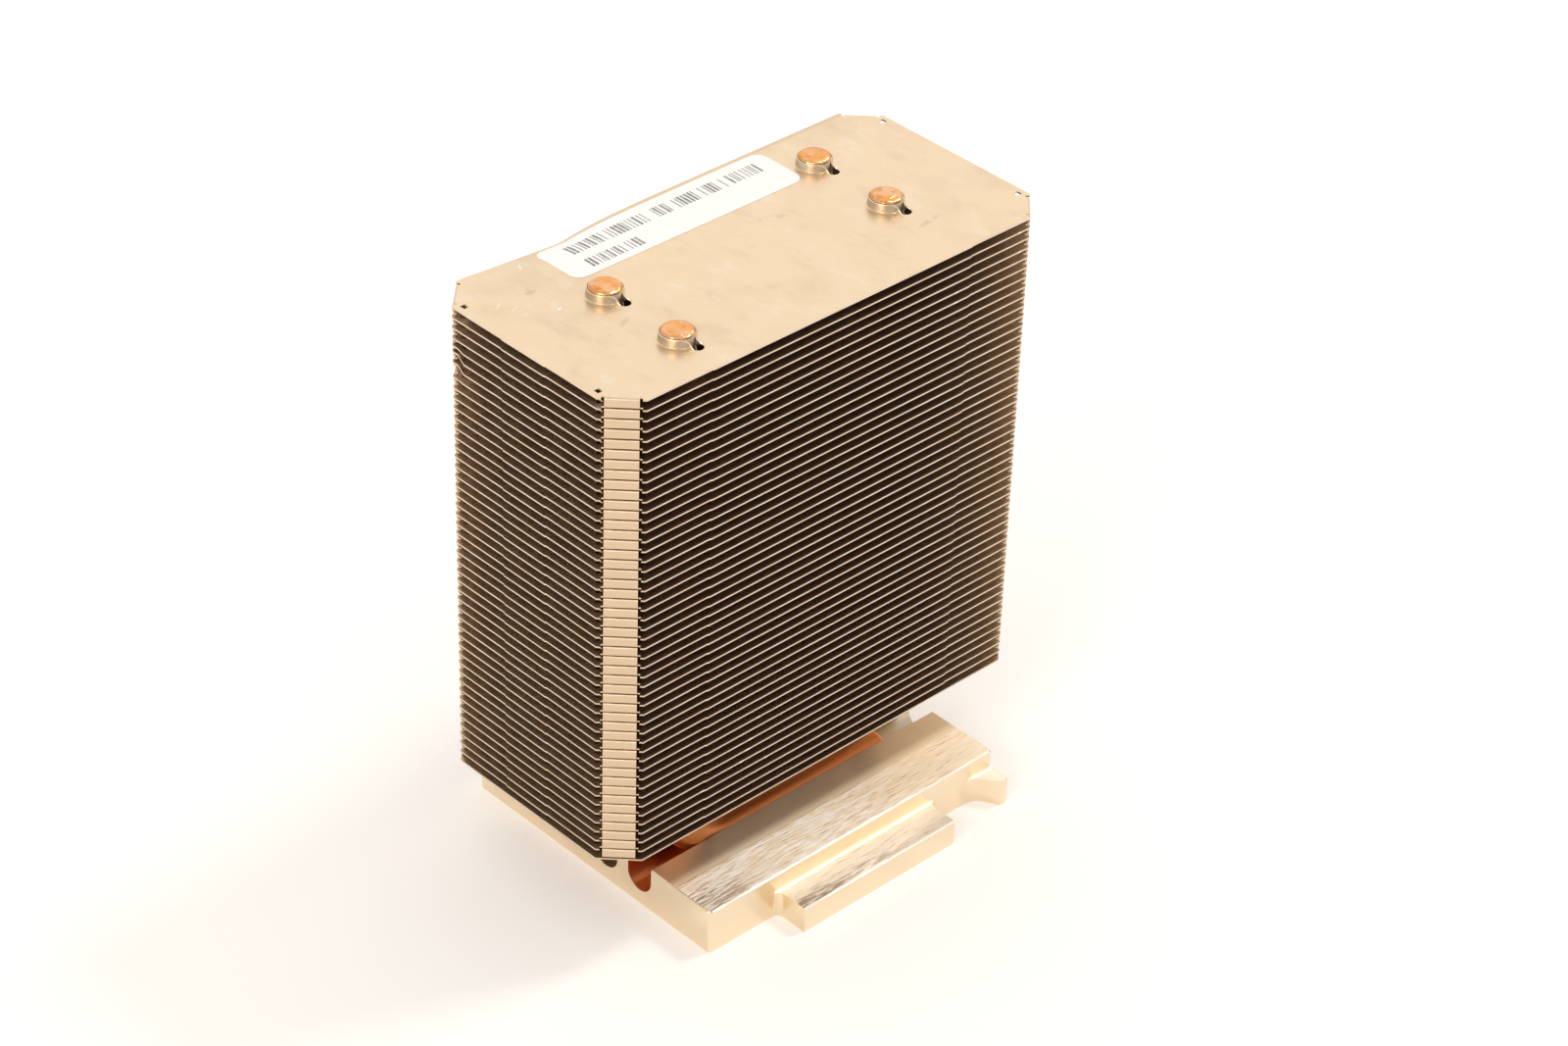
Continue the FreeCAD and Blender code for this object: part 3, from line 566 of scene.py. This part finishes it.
def triangulate(loops, spots):
    # flat triangles between closed loops and loose spots, and where each given point went
    points, edges = [], []
    for loop in loops:
        first = len(points)
        points += loop
        edges += [(first + k, first + (k + 1) % len(loop)) for k in range(len(loop))]
    points += spots
    verts, _, triangles, sources, _, _ = delaunay_2d_cdt([Vector(p) for p in points], edges, [], 0, 1e-6)
    order = {source: place for place, group in enumerate(sources) for source in group}
    return verts, triangles, order


def finOutline():
    # corners of the flat sheet, and which of its edges carry a folded tab
    halfX, halfY = finShape["length"] / 2, finShape["width"] / 2
    cut, slope, out = finShape["corner"], finShape["stepSlope"], finShape["edgeStep"]
    tab, ear, notch, bend = finShape["tabFrom"], finShape["earTo"], finShape["notch"], finShape["bend"]
    stepX, stepY = finShape["stepAlong"], finShape["stepAcross"]
    diagonal = math.sqrt(0.5)
    total = cut / diagonal
    corners = []
    for alongSide, acrossSide in ((1, 1), (-1, 1), (-1, -1), (1, -1)):
        quarter = []
        if alongSide < 0:
            quarter += [(halfX + out, stepY, ""), (halfX, stepY + slope, "")]
        for along, inward, mark in (
                (0.0, 0.0, ""), (ear, 0.0, ""), (ear, notch, ""), (tab, notch, ""), (tab, bend, "tab"),
                (total - tab, bend, "end"), (total - tab, notch, ""), (total - ear, notch, ""),
                (total - ear, 0.0, ""), (total, 0.0, "")):
            x, y = halfX - (along + inward) * diagonal, halfY - cut + (along - inward) * diagonal
            quarter.append((x, y, mark))
        if acrossSide < 0:
            quarter += [(stepX + slope, halfY, ""), (stepX, halfY + out, "")]
        moved = [(alongSide * x, acrossSide * y, mark) for x, y, mark in quarter]
        if alongSide * acrossSide < 0:
            moved.reverse()
            swap = {"tab": "end", "end": "tab", "": ""}
            moved = [(x, y, swap[mark]) for x, y, mark in moved]
        corners += moved
    return corners


# the stack: covered fins repeated upwards, three of them bent up at one corner
stack = {
    "count": finShape["count"] - 2, "wave": 0.05,
    "bentFin": 41.6, "bentSpread": 1.75, "bentRise": 1.35, "bentFrom": 68.8, "bentTo": 70.8,
    "finerFrom": 64.8, "finerOver": 1.0, "finerStep": 0.45,
}


def divided(corners, longest, atBend=False):
    # cuts long edges up, so that the sheet can be bent, or only those round the bent-up corner
    loop = []
    for corner, after in zip(corners, corners[1:] + corners[:1]):
        (x1, y1, mark), (x2, y2, _) = corner, after
        length = math.hypot(x2 - x1, y2 - y1)
        nearBend = (y1 + y2) / 2 - (x1 + x2) / 2 > stack["finerFrom"] and length > stack["finerOver"]
        whole = mark == "tab" or (atBend and (mark or not nearBend))
        pieces = 1 if whole else math.ceil(length / longest)
        loop.append(corner)
        for step in range(1, pieces):
            share = step / pieces
            loop.append((x1 + share * (x2 - x1), y1 + share * (y2 - y1), ""))
    return loop


def foldTab(mesh, topA, topB, lowA, lowB):
    # bends a tab down from one edge of the sheet
    sheet, bend, ease = finShape["sheet"], finShape["bend"], finShape["tabEase"]
    outX = math.copysign(math.sqrt(0.5), topA.co.x)
    outY = math.copysign(math.sqrt(0.5), topA.co.y)
    path = []
    for step in range(1, 5):
        turn = step * math.pi / 8
        path.append((bend * math.sin(turn), sheet - bend * (1 - math.cos(turn)),
                     (bend - sheet) * math.sin(turn), sheet - bend + (bend - sheet) * math.cos(turn)))
    foot = -finShape["pitch"] + sheet + finShape["tabGap"]
    path.append((bend, foot + ease, bend - sheet, foot + ease))
    path.append((bend - ease, foot, bend - sheet + ease, foot))
    previous = (topA, topB, lowA, lowB)
    for outside, zOut, inside, zIn in path:
        current = [mesh.verts.new((end.co.x + outX * offset, end.co.y + outY * offset, z))
                   for offset, z in ((outside, zOut), (inside, zIn)) for end in (topA, topB)]
        outA, outB, inA, inB = current
        oldOutA, oldOutB, oldInA, oldInB = previous
        mesh.faces.new((oldOutA, oldOutB, outB, outA))
        mesh.faces.new((oldInB, oldInA, inA, inB))
        mesh.faces.new((oldInA, oldOutA, outA, inA))
        mesh.faces.new((oldOutB, oldInB, inB, outB))
        previous = current
    outA, outB, inA, inB = previous
    mesh.faces.new((outA, outB, inB, inA))


def smoothMesh(mesh, name, sharpFrom):
    # a plain mesh, smooth but for the edges over an angle in degrees
    data = bpy.data.meshes.new(name)
    mesh.to_mesh(data)
    mesh.free()
    data.shade_smooth()
    data.set_sharp_from_angle(angle=math.radians(sharpFrom))
    return data


def makeFin(name, longest, ringSteps, warp=None):
    # one closed fin round its own middle, underside at 0, in millimetres; the warped one is finer
    outer = divided(divided(finOutline(), longest), stack["finerStep"], atBend=True)
    length, width, sheet = finShape["length"], finShape["width"], finShape["sheet"]
    half = finShape["pegHole"] / 2
    pegX = length / 2 - finShape["pegIn"]
    pegY = width / 2 - finShape["corner"] - finShape["pegBack"]
    square = ((-1, -1), (1, -1), (1, 1), (-1, 1))
    loops = [[(x, y) for x, y, mark in outer]]
    for sx, sy in ((1, 1), (-1, 1), (-1, -1), (1, -1)):
        loops.append([(sx * pegX + dx * half, sy * pegY + dy * half) for dx, dy in square])
    plain = len(loops)
    collars = [collarRings(number, ringSteps, warp is not None) for number in range(4)]
    loops += [[(x, y) for x, y, z in rings[0]] for rings in collars]
    apron = keyholeLoop(collarShape["wall"] + collarShape["foot"] + collarShape["apron"], ringSteps)
    aprons = [[keyholePlace(number, x, y) for x, y in apron] for number in range(4)]
    spots = []
    if warp:
        # points inside the sheet, so that it bends smoothly in the dent
        for row in range(1, 14):
            for column in range(1, 120):
                x = -length / 2 + column * length / 120
                y = width / 2 - row * 0.8
                if -47 < x < 5 and y > 10 and insideLoop(loops[0], x, y):
                    if all(not insideLoop(loop, x, y) for loop in loops[1:] + aprons):
                        spots.append((x, y))
    verts, triangles, order = triangulate(loops + aprons, spots)
    mesh = bmesh.new()
    topSkin = [mesh.verts.new((v.x, v.y, sheet)) for v in verts]
    lowSkin = [mesh.verts.new((v.x, v.y, 0.0)) for v in verts]
    for triangle in triangles:
        x = sum(verts[k].x for k in triangle) / 3
        y = sum(verts[k].y for k in triangle) / 3
        if insideLoop(loops[0], x, y) and not any(insideLoop(loop, x, y) for loop in loops[1:]):
            mesh.faces.new([topSkin[k] for k in triangle])
            mesh.faces.new([lowSkin[k] for k in reversed(triangle)])
    # edge walls, and the tabs that fold down at the cut corners
    start = 0
    for loop in loops[:plain]:
        for place in range(len(loop)):
            a, b = order[start + place], order[start + (place + 1) % len(loop)]
            if loop is not loops[0]:
                mesh.faces.new((lowSkin[b], lowSkin[a], topSkin[a], topSkin[b]))
            elif outer[place][2] == "tab":
                foldTab(mesh, topSkin[a], topSkin[b], lowSkin[a], lowSkin[b])
            else:
                mesh.faces.new((lowSkin[a], lowSkin[b], topSkin[b], topSkin[a]))
        start += len(loop)
    # collars, from the upper skin to the lower one
    for rings in collars:
        count = len(rings[0])
        rows = [[topSkin[order[start + k]] for k in range(count)]]
        rows += [[mesh.verts.new(spot) for spot in ring] for ring in rings[1:-1]]
        rows.append([lowSkin[order[start + k]] for k in range(count)])
        for previous, current in zip(rows, rows[1:]):
            for k in range(count):
                after = (k + 1) % count
                mesh.faces.new((previous[k], current[k], current[after], previous[after]))
        start += count
    bmesh.ops.remove_doubles(mesh, verts=mesh.verts, dist=0.0008)
    bmesh.ops.recalc_face_normals(mesh, faces=mesh.faces)
    for vert in mesh.verts:
        x, y, z = vert.co
        if warp:
            z -= warp(x, y)
        vert.co = (x * mm, y * mm, z * mm)
    return smoothMesh(mesh, name, 32)


def addPiece(name, data, slotName, *nodeNames):
    piece = newObject(name, data)
    if not data.materials:
        data.materials.append(materials[slotName])
    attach(piece, "root")
    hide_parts(*nodeNames)
    return piece


def newTree(name, inputs):
    # a geometry tree with named inputs: the tree, its values and where its result goes
    group = bpy.data.node_groups.new(name, "GeometryNodeTree")
    sockets = [("Geometry", "Geometry", "INPUT")] + [(*entry, "INPUT") for entry in inputs]
    for socketName, kind, side in sockets + [("Geometry", "Geometry", "OUTPUT")]:
        group.interface.new_socket(name=socketName, in_out=side, socket_type="NodeSocket" + kind)
    source = group.nodes.new("NodeGroupInput")
    sink = group.nodes.new("NodeGroupOutput")
    return group, source.outputs, sink.inputs[0]


def stackTree():
    group, values, result = newTree("finStackTree", (
        ("Fin", "Object"), ("Count", "Int"), ("Pitch", "Float"), ("Lowest", "Float"), ("Shift", "Float"),
        ("Wave", "Float"), ("Bent Fin", "Float"), ("Bent Spread", "Float"), ("Bent Rise", "Float"),
        ("Bent From", "Float"), ("Bent To", "Float"), ("Metal", "Material")))
    nodes, links = group.nodes, group.links
    add, calc, vector = [partial(helper, nodes, links) for helper in (addNode, mathNode, joinPlace)]
    line = add("GeometryNodeMeshLine", {
        "Count": values["Count"], "Start Location": vector(0.0, values["Shift"], values["Lowest"]),
        "Offset": vector(0.0, 0.0, values["Pitch"])})
    index = nodes.new("GeometryNodeInputIndex")
    keep = nodes.new("GeometryNodeCaptureAttribute")
    keep.capture_items.new("FLOAT", "number")
    links.new(line.outputs[0], keep.inputs[0])
    links.new(index.outputs[0], keep.inputs[1])
    number = keep.outputs[1]
    info = add("GeometryNodeObjectInfo", {"Object": values["Fin"]})
    place = add("GeometryNodeInstanceOnPoints", {
        "Points": keep.outputs[0], "Instance": info.outputs["Geometry"]})
    real = add("GeometryNodeRealizeInstances", {"Geometry": place.outputs[0]})
    spot = nodes.new("GeometryNodeInputPosition")
    x, y, _ = splitPlace(nodes, links, spot.outputs[0])
    # the folded-up corner: how near a fin is to the worst one, and how near a point is to the corner
    away = calc("DIVIDE", calc("SUBTRACT", number, values["Bent Fin"]), values["Bent Spread"])
    share = calc("MAXIMUM", calc("SUBTRACT", 1.0, calc("MULTIPLY", away, away)), 0.0)
    ramp = rangeNode(nodes, links, calc("SUBTRACT", y, x), values["Bent From"], values["Bent To"])
    rise = calc("MULTIPLY", calc("MULTIPLY", share, ramp), values["Bent Rise"])
    # a slight waviness, different on each fin
    noise = add("ShaderNodeTexNoise", {"Vector": spot.outputs[0], "Scale": 28.0, "Detail": 1.0})
    noise.noise_dimensions = "4D"
    links.new(calc("MULTIPLY", number, 3.7), noise.inputs["W"])
    wave = calc("MULTIPLY", calc("SUBTRACT", noise.outputs["Fac"], 0.5), values["Wave"])
    offset = vector(0.0, 0.0, calc("ADD", rise, wave))
    move = add("GeometryNodeSetPosition", {"Geometry": real.outputs[0], "Offset": offset})
    paint = add("GeometryNodeSetMaterial", {"Geometry": move.outputs[0], "Material": values["Metal"]})
    links.new(paint.outputs[0], result)
    return group


def bakeNodes(name, group, values):
    # runs a node tree on an empty mesh and returns the finished mesh
    holder = newObject(name + "Maker", bpy.data.meshes.new(name + "Maker"))
    modifier = holder.modifiers.new("tree", "NODES")
    modifier.node_group = group
    for item in group.interface.items_tree:
        if item.in_out == "INPUT" and item.name in values:
            modifier[item.identifier] = values[item.name]
    bpy.context.view_layer.update()
    depsgraph = bpy.context.evaluated_depsgraph_get()
    data = bpy.data.meshes.new_from_object(holder.evaluated_get(depsgraph), depsgraph=depsgraph)
    data.name = name
    holder.modifiers.remove(modifier)
    bpy.data.objects.remove(holder)
    return data


pattern = newObject("finPattern", makeFin("coveredFin", 8.0, 18))
stackData = bakeNodes("finStack", stackTree(), {
    "Fin": pattern, "Count": stack["count"], "Pitch": finShape["pitch"] * mm,
    "Lowest": (finShape["lowest"] + finShape["pitch"]) * mm, "Shift": finShape["shift"] * mm,
    "Wave": stack["wave"] * mm, "Bent Fin": stack["bentFin"], "Bent Spread": stack["bentSpread"],
    "Bent Rise": stack["bentRise"] * mm, "Bent From": stack["bentFrom"] * mm, "Bent To": stack["bentTo"] * mm,
    "Metal": materials["fin_sheet"],
})
bpy.data.objects.remove(pattern)
addPiece("finStack", stackData, "fin_sheet", *["fin_%02d" % n for n in range(2, finShape["count"])])
print("fin stack:", len(stackData.polygons), "faces")

topData = makeFin("topFin", 1.2, 60, dentDepth)
topLift = finShape["lowest"] + finShape["pitch"] * (finShape["count"] - 1)
for vert in topData.vertices:
    vert.co += Vector((0, finShape["shift"] * mm, topLift * mm))
addPiece("topFin", topData, "fin_sheet", "fin_%02d" % finShape["count"])
print("top fin:", len(topData.polygons), "faces")


# heat pipes: a round section swept along run, bend and leg, closed by a dimpled crown and a drawn-in nose
pipeShape = {
    "radius": 3.0, "sides": 64, "level": 6.0, "bend": 14.0, "spread": 28.6, "runEnd": 24.6, "top": 119.7,
    "crownRound": 0.5, "crownIn": 1.0, "crownRise": 0.12, "dimple": 0.12, "dimpleRadius": 1.4,
    "noseLength": 1.9, "noseEnd": 1.3,
}


def pipeTree():
    group, values, result = newTree("pipeTree", (
        ("Route", "Object"), ("Radius", "Float"), ("Sides", "Int"), ("Metal", "Material")))
    add = partial(addNode, group.nodes, group.links)
    info = add("GeometryNodeObjectInfo", {"Object": values["Route"]})
    ring = add("GeometryNodeCurvePrimitiveCircle", {
        "Resolution": values["Sides"], "Radius": values["Radius"]})
    sweep = add("GeometryNodeCurveToMesh", {
        "Curve": info.outputs["Geometry"], "Profile Curve": ring.outputs[0]})
    real = add("GeometryNodeRealizeInstances", {"Geometry": sweep.outputs[0]})
    paint = add("GeometryNodeSetMaterial", {"Geometry": real.outputs[0], "Material": values["Metal"]})
    group.links.new(paint.outputs[0], result)
    return group


def closeEnd(mesh, loop, centre, outward, rows):
    # rings of (radius share, distance outwards) that end in one middle point
    previous = loop
    middle = Vector(centre)
    for share, along in rows:
        if share > 0:
            current = [mesh.verts.new(middle + (vert.co - middle) * share + outward * along * mm)
                       for vert in loop]
            for k in range(len(loop)):
                after = (k + 1) % len(loop)
                mesh.faces.new((previous[k], previous[after], current[after], current[k]))
            previous = current
        else:
            tip = mesh.verts.new(middle + outward * along * mm)
            for k in range(len(loop)):
                mesh.faces.new((previous[k], previous[(k + 1) % len(loop)], tip))


def ringAt(mesh, test):
    # the open rim that passes a test, in order round the pipe
    edges = [edge for edge in mesh.edges if edge.is_boundary and test(edge.verts[0].co)]
    loop = [edges[0].verts[0], edges[0].verts[1]]
    used = {edges[0]}
    while True:
        step = next((e for e in loop[-1].link_edges if e.is_boundary and e not in used), None)
        if step is None:
            return loop
        used.add(step)
        after = step.other_vert(loop[-1])
        if after is loop[0]:
            return loop
        loop.append(after)


def crownRows():
    # over the rounded shoulder to a low rim, and down into the dimple
    radius, shoulder = pipeShape["radius"], pipeShape["crownRound"]
    rows = []
    for step in range(1, 6):
        turn = step * math.pi / 10
        rows.append((1 - pipeShape["crownIn"] / radius * (1 - math.cos(turn)), shoulder * math.sin(turn)))
    for inner in (1.75, 1.5, 1.25, 1.0, 0.8, 0.6, 0.4, 0.2):
        rim = pipeShape["crownRise"] * math.sin(math.pi * min(1.0, (2.0 - inner) / 0.9) / 2)
        dip = pipeShape["dimple"] * max(0.0, 1 - (inner / pipeShape["dimpleRadius"]) ** 2)
        rows.append((inner / radius, shoulder + rim - dip))
    return rows + [(0, shoulder + pipeShape["crownRise"] - pipeShape["dimple"])]


def noseRows():
    # round the drawn-in end to its tip
    narrow, length = pipeShape["noseEnd"] / pipeShape["radius"], pipeShape["noseLength"]
    rows = []
    for step in range(1, 9):
        turn = step * math.pi / 16
        rows.append((1 - (1 - narrow) * (1 - math.cos(turn)), length * 0.8 * math.sin(turn)))
    return rows + [(0.36, length * 0.9), (0.2, length), (0, length)]


def makePipe(number, tree):
    name = "heatPipe%d" % number
    side = -1 if number % 2 else 1
    across = finShape["shift"] + (number - 2.5) * collarShape["pitch"]
    level, bend, leg = pipeShape["level"], pipeShape["bend"], side * pipeShape["spread"]
    crownStart = pipeShape["top"] - pipeShape["crownRound"] - pipeShape["crownRise"]
    noseStart = -side * (pipeShape["runEnd"] - pipeShape["noseLength"])
    points = [(leg, crownStart)]
    for step in range(21):
        turn = math.pi / 2 * step / 20
        points.append((leg - side * bend * (1 - math.cos(turn)), level + bend * (1 - math.sin(turn))))
    points.append((noseStart, level))
    route = bpy.data.curves.new("pipeRoute", "CURVE")
    route.dimensions = "3D"
    spline = route.splines.new("POLY")
    spline.points.add(len(points) - 1)
    for point, (x, z) in zip(spline.points, points):
        point.co = (x * mm, across * mm, z * mm, 1)
    routeObject = newObject("pipeRoute", route)
    data = bakeNodes(name, tree, {
        "Route": routeObject, "Radius": pipeShape["radius"] * mm, "Sides": pipeShape["sides"],
        "Metal": materials["pipe_copper"],
    })
    bpy.data.objects.remove(routeObject)
    mesh = bmesh.new()
    mesh.from_mesh(data)
    crown = ringAt(mesh, lambda co: co.z > (crownStart - 1) * mm)
    nose = ringAt(mesh, lambda co: co.z < 20 * mm)
    closeEnd(mesh, crown, (leg * mm, across * mm, crownStart * mm), Vector((0, 0, 1)), crownRows())
    closeEnd(mesh, nose, (noseStart * mm, across * mm, level * mm), Vector((-side, 0, 0)), noseRows())
    bmesh.ops.recalc_face_normals(mesh, faces=mesh.faces)
    mesh.to_mesh(data)
    mesh.free()
    data.shade_smooth()
    addPiece(name, data, "pipe_copper", "heat_pipe_%d" % number)


sweepTree = pipeTree()
for pipe in range(1, 5):
    makePipe(pipe, sweepTree)
print("heat pipes done")


# foot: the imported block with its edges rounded
footShape = {"edge": 0.28, "segments": 3}
footData = frame["nodes"]["base_block"].data.copy()
footData.name = "foot"
block = bmesh.new()
block.from_mesh(footData)
bmesh.ops.remove_doubles(block, verts=block.verts, dist=0.000002)
bmesh.ops.dissolve_limit(block, angle_limit=math.radians(0.5), verts=block.verts, edges=block.edges)
block.to_mesh(footData)
block.free()
footData.materials.clear()
footData.materials.append(materials["foot_metal"])
foot = addPiece("foot", footData, "foot_metal", "base_block")
bevel = foot.modifiers.new("edges", "BEVEL")
bevel.width = footShape["edge"] * mm
bevel.segments = footShape["segments"]
bevel.limit_method = "ANGLE"
bevel.angle_limit = math.radians(40)
footData.shade_smooth()
footData.set_sharp_from_angle(angle=math.radians(38))
print("foot done")


# label: a thin rounded sheet that follows the top fin
labelShape = {
    "length": 53.0, "width": 12.2, "corner": 2.4, "thick": 0.10, "lift": 0.005,
    "along": -2.6, "across": 17.1,
}


def makeLabel():
    corners = []
    halfX, halfY, radius = labelShape["length"] / 2, labelShape["width"] / 2, labelShape["corner"]
    for sx, sy, begin in ((1, -1, -90), (1, 1, 0), (-1, 1, 90), (-1, -1, 180)):
        for step in range(9):
            turn = math.radians(begin + 90 * step / 8)
            x, y = radius * math.cos(turn), radius * math.sin(turn)
            corners.append((sx * (halfX - radius) + x, sy * (halfY - radius) + y, ""))
    loop = [(x, y) for x, y, mark in divided(corners, 1.0)]
    spots = []
    for row in range(1, 12):
        for column in range(1, 53):
            x, y = column - halfX, row - halfY
            if abs(x) < halfX - 0.4 and abs(y) < halfY - 0.4 and insideLoop(loop, x, y):
                spots.append((x, y))
    verts, triangles, order = triangulate([loop], spots)
    mesh = bmesh.new()
    base = topLift + finShape["sheet"]
    skins = []
    for height in (labelShape["thick"], labelShape["lift"]):
        skin = []
        for v in verts:
            x, y = v.x + labelShape["along"], v.y + labelShape["across"]
            z = base + height - dentDepth(x, y)
            skin.append(mesh.verts.new((x * mm, (y + finShape["shift"]) * mm, z * mm)))
        skins.append(skin)
    upper, lower = skins
    for triangle in triangles:
        mesh.faces.new([upper[k] for k in triangle])
        mesh.faces.new([lower[k] for k in reversed(triangle)])
    for k in range(len(loop)):
        a, b = order[k], order[(k + 1) % len(loop)]
        mesh.faces.new((lower[a], lower[b], upper[b], upper[a]))
    bmesh.ops.recalc_face_normals(mesh, faces=mesh.faces)
    return smoothMesh(mesh, "labelSheet", 40)


addPiece("labelSheet", makeLabel(), "label_paper", "label")
print("label done")


# floor: a wide pale sheet that keeps the shadow and goes white far away
studio = {
    "floor": (0.93, 0.905, 0.875, 1), "floorHalf": 3.0,
    "nearGlow": 0.155, "farGlow": 0.20, "glowFrom": -0.15, "glowTo": 0.30, "glow": (1.0, 0.99, 0.98, 1),
    "world": (1.0, 0.97, 0.935, 1), "worldStrength": 0.76,
    # lamps: place, aim, power, size, colour
    "rightLamp": ((0.85, -0.25, 1.4), (0, 0, 0.05), 6.3, 0.3, (1.0, 0.95, 0.89)),
    "leftLamp": ((-1.35, -0.4, 0.9), (0, 0, 0.06), 8.0, 0.7, (1.0, 0.95, 0.89)),
    "backLamp": ((1.35, 1.4, 1.4), (0, 0, 0.1), 3.6, 2.0, (1.0, 0.98, 0.95)),
}


def floorMaterial():
    material = bpy.data.materials.new("paleFloor")
    nodes, links = emptyTree(material)
    calc, product, ramp, _, _, _, split, _ = nodeTools(nodes, links)
    add = partial(addNode, nodes, links)
    path = nodes.new("ShaderNodeLightPath")
    seen = calc("MAXIMUM", path.outputs["Is Camera Ray"], path.outputs["Is Glossy Ray"])
    coordinates = nodes.new("ShaderNodeTexCoord")
    along, across, _ = split(coordinates.outputs["Object"])
    far = ramp(calc("ADD", along, across), studio["glowFrom"], studio["glowTo"])
    glowing = calc("MULTIPLY_ADD", far, studio["farGlow"] - studio["nearGlow"], studio["nearGlow"])
    cloth = add("ShaderNodeBsdfDiffuse", {"Color": studio["floor"]})
    glow = add("ShaderNodeEmission", {"Color": studio["glow"], "Strength": product(seen, glowing)})
    total = add("ShaderNodeAddShader", {0: cloth.outputs[0], 1: glow.outputs[0]})
    add("ShaderNodeOutputMaterial", {"Surface": total.outputs[0]})
    return material


floorData = bpy.data.meshes.new("floor")
half = studio["floorHalf"]
corners = [(-half, -half, 0), (half, -half, 0), (half, half, 0), (-half, half, 0)]
floorData.from_pydata(corners, [], [(0, 1, 2, 3)])
floorData.materials.append(floorMaterial())
newObject("floor", floorData)

# world: warm light on the object, plain white behind it
world = bpy.data.worlds.new("studio")
scene.world = world
add = partial(addNode, *emptyTree(world))
path = add("ShaderNodeLightPath", {})
warm = add("ShaderNodeBackground", {"Color": studio["world"], "Strength": studio["worldStrength"]})
plain = add("ShaderNodeBackground", {"Color": (1, 1, 1, 1), "Strength": 1.0})
mixer = add("ShaderNodeMixShader", {
    0: path.outputs["Is Camera Ray"], 1: warm.outputs[0], 2: plain.outputs[0]})
add("ShaderNodeOutputWorld", {"Surface": mixer.outputs[0]})

for name in ("rightLamp", "leftLamp", "backLamp"):
    place, aim, power, size, colour = studio[name]
    lamp = bpy.data.lights.new(name, "AREA")
    lamp.shape = "SQUARE"
    lamp.size = size
    lamp.energy = power
    lamp.color = colour
    holder = newObject(name, lamp)
    holder.location = place
    holder.rotation_euler = (Vector(aim) - Vector(place)).to_track_quat("-Z", "Y").to_euler()

# camera: the photograph's place and lens
view = {
    "place": (-0.41484, -0.43244, 0.47797),
    "forward": (0.57424, 0.58735, -0.57032),
    "up": (0.37343, 0.43202, 0.82092),
    "lens": 93.65,
}
camera = bpy.data.cameras.new("photoCamera")
camera.lens = view["lens"]
camera.sensor_width = 36.0
camera.sensor_fit = "HORIZONTAL"
camera.clip_start = 0.01
viewer = newObject("photoCamera", camera)
forward = Vector(view["forward"]).normalized()
right = forward.cross(Vector(view["up"])).normalized()
upward = right.cross(forward)
viewer.matrix_world = Matrix((
    (right.x, upward.x, -forward.x, view["place"][0]),
    (right.y, upward.y, -forward.y, view["place"][1]),
    (right.z, upward.z, -forward.z, view["place"][2]),
    (0, 0, 0, 1),
))
scene.camera = viewer
scene.view_settings.view_transform = "Standard"
print("studio done")
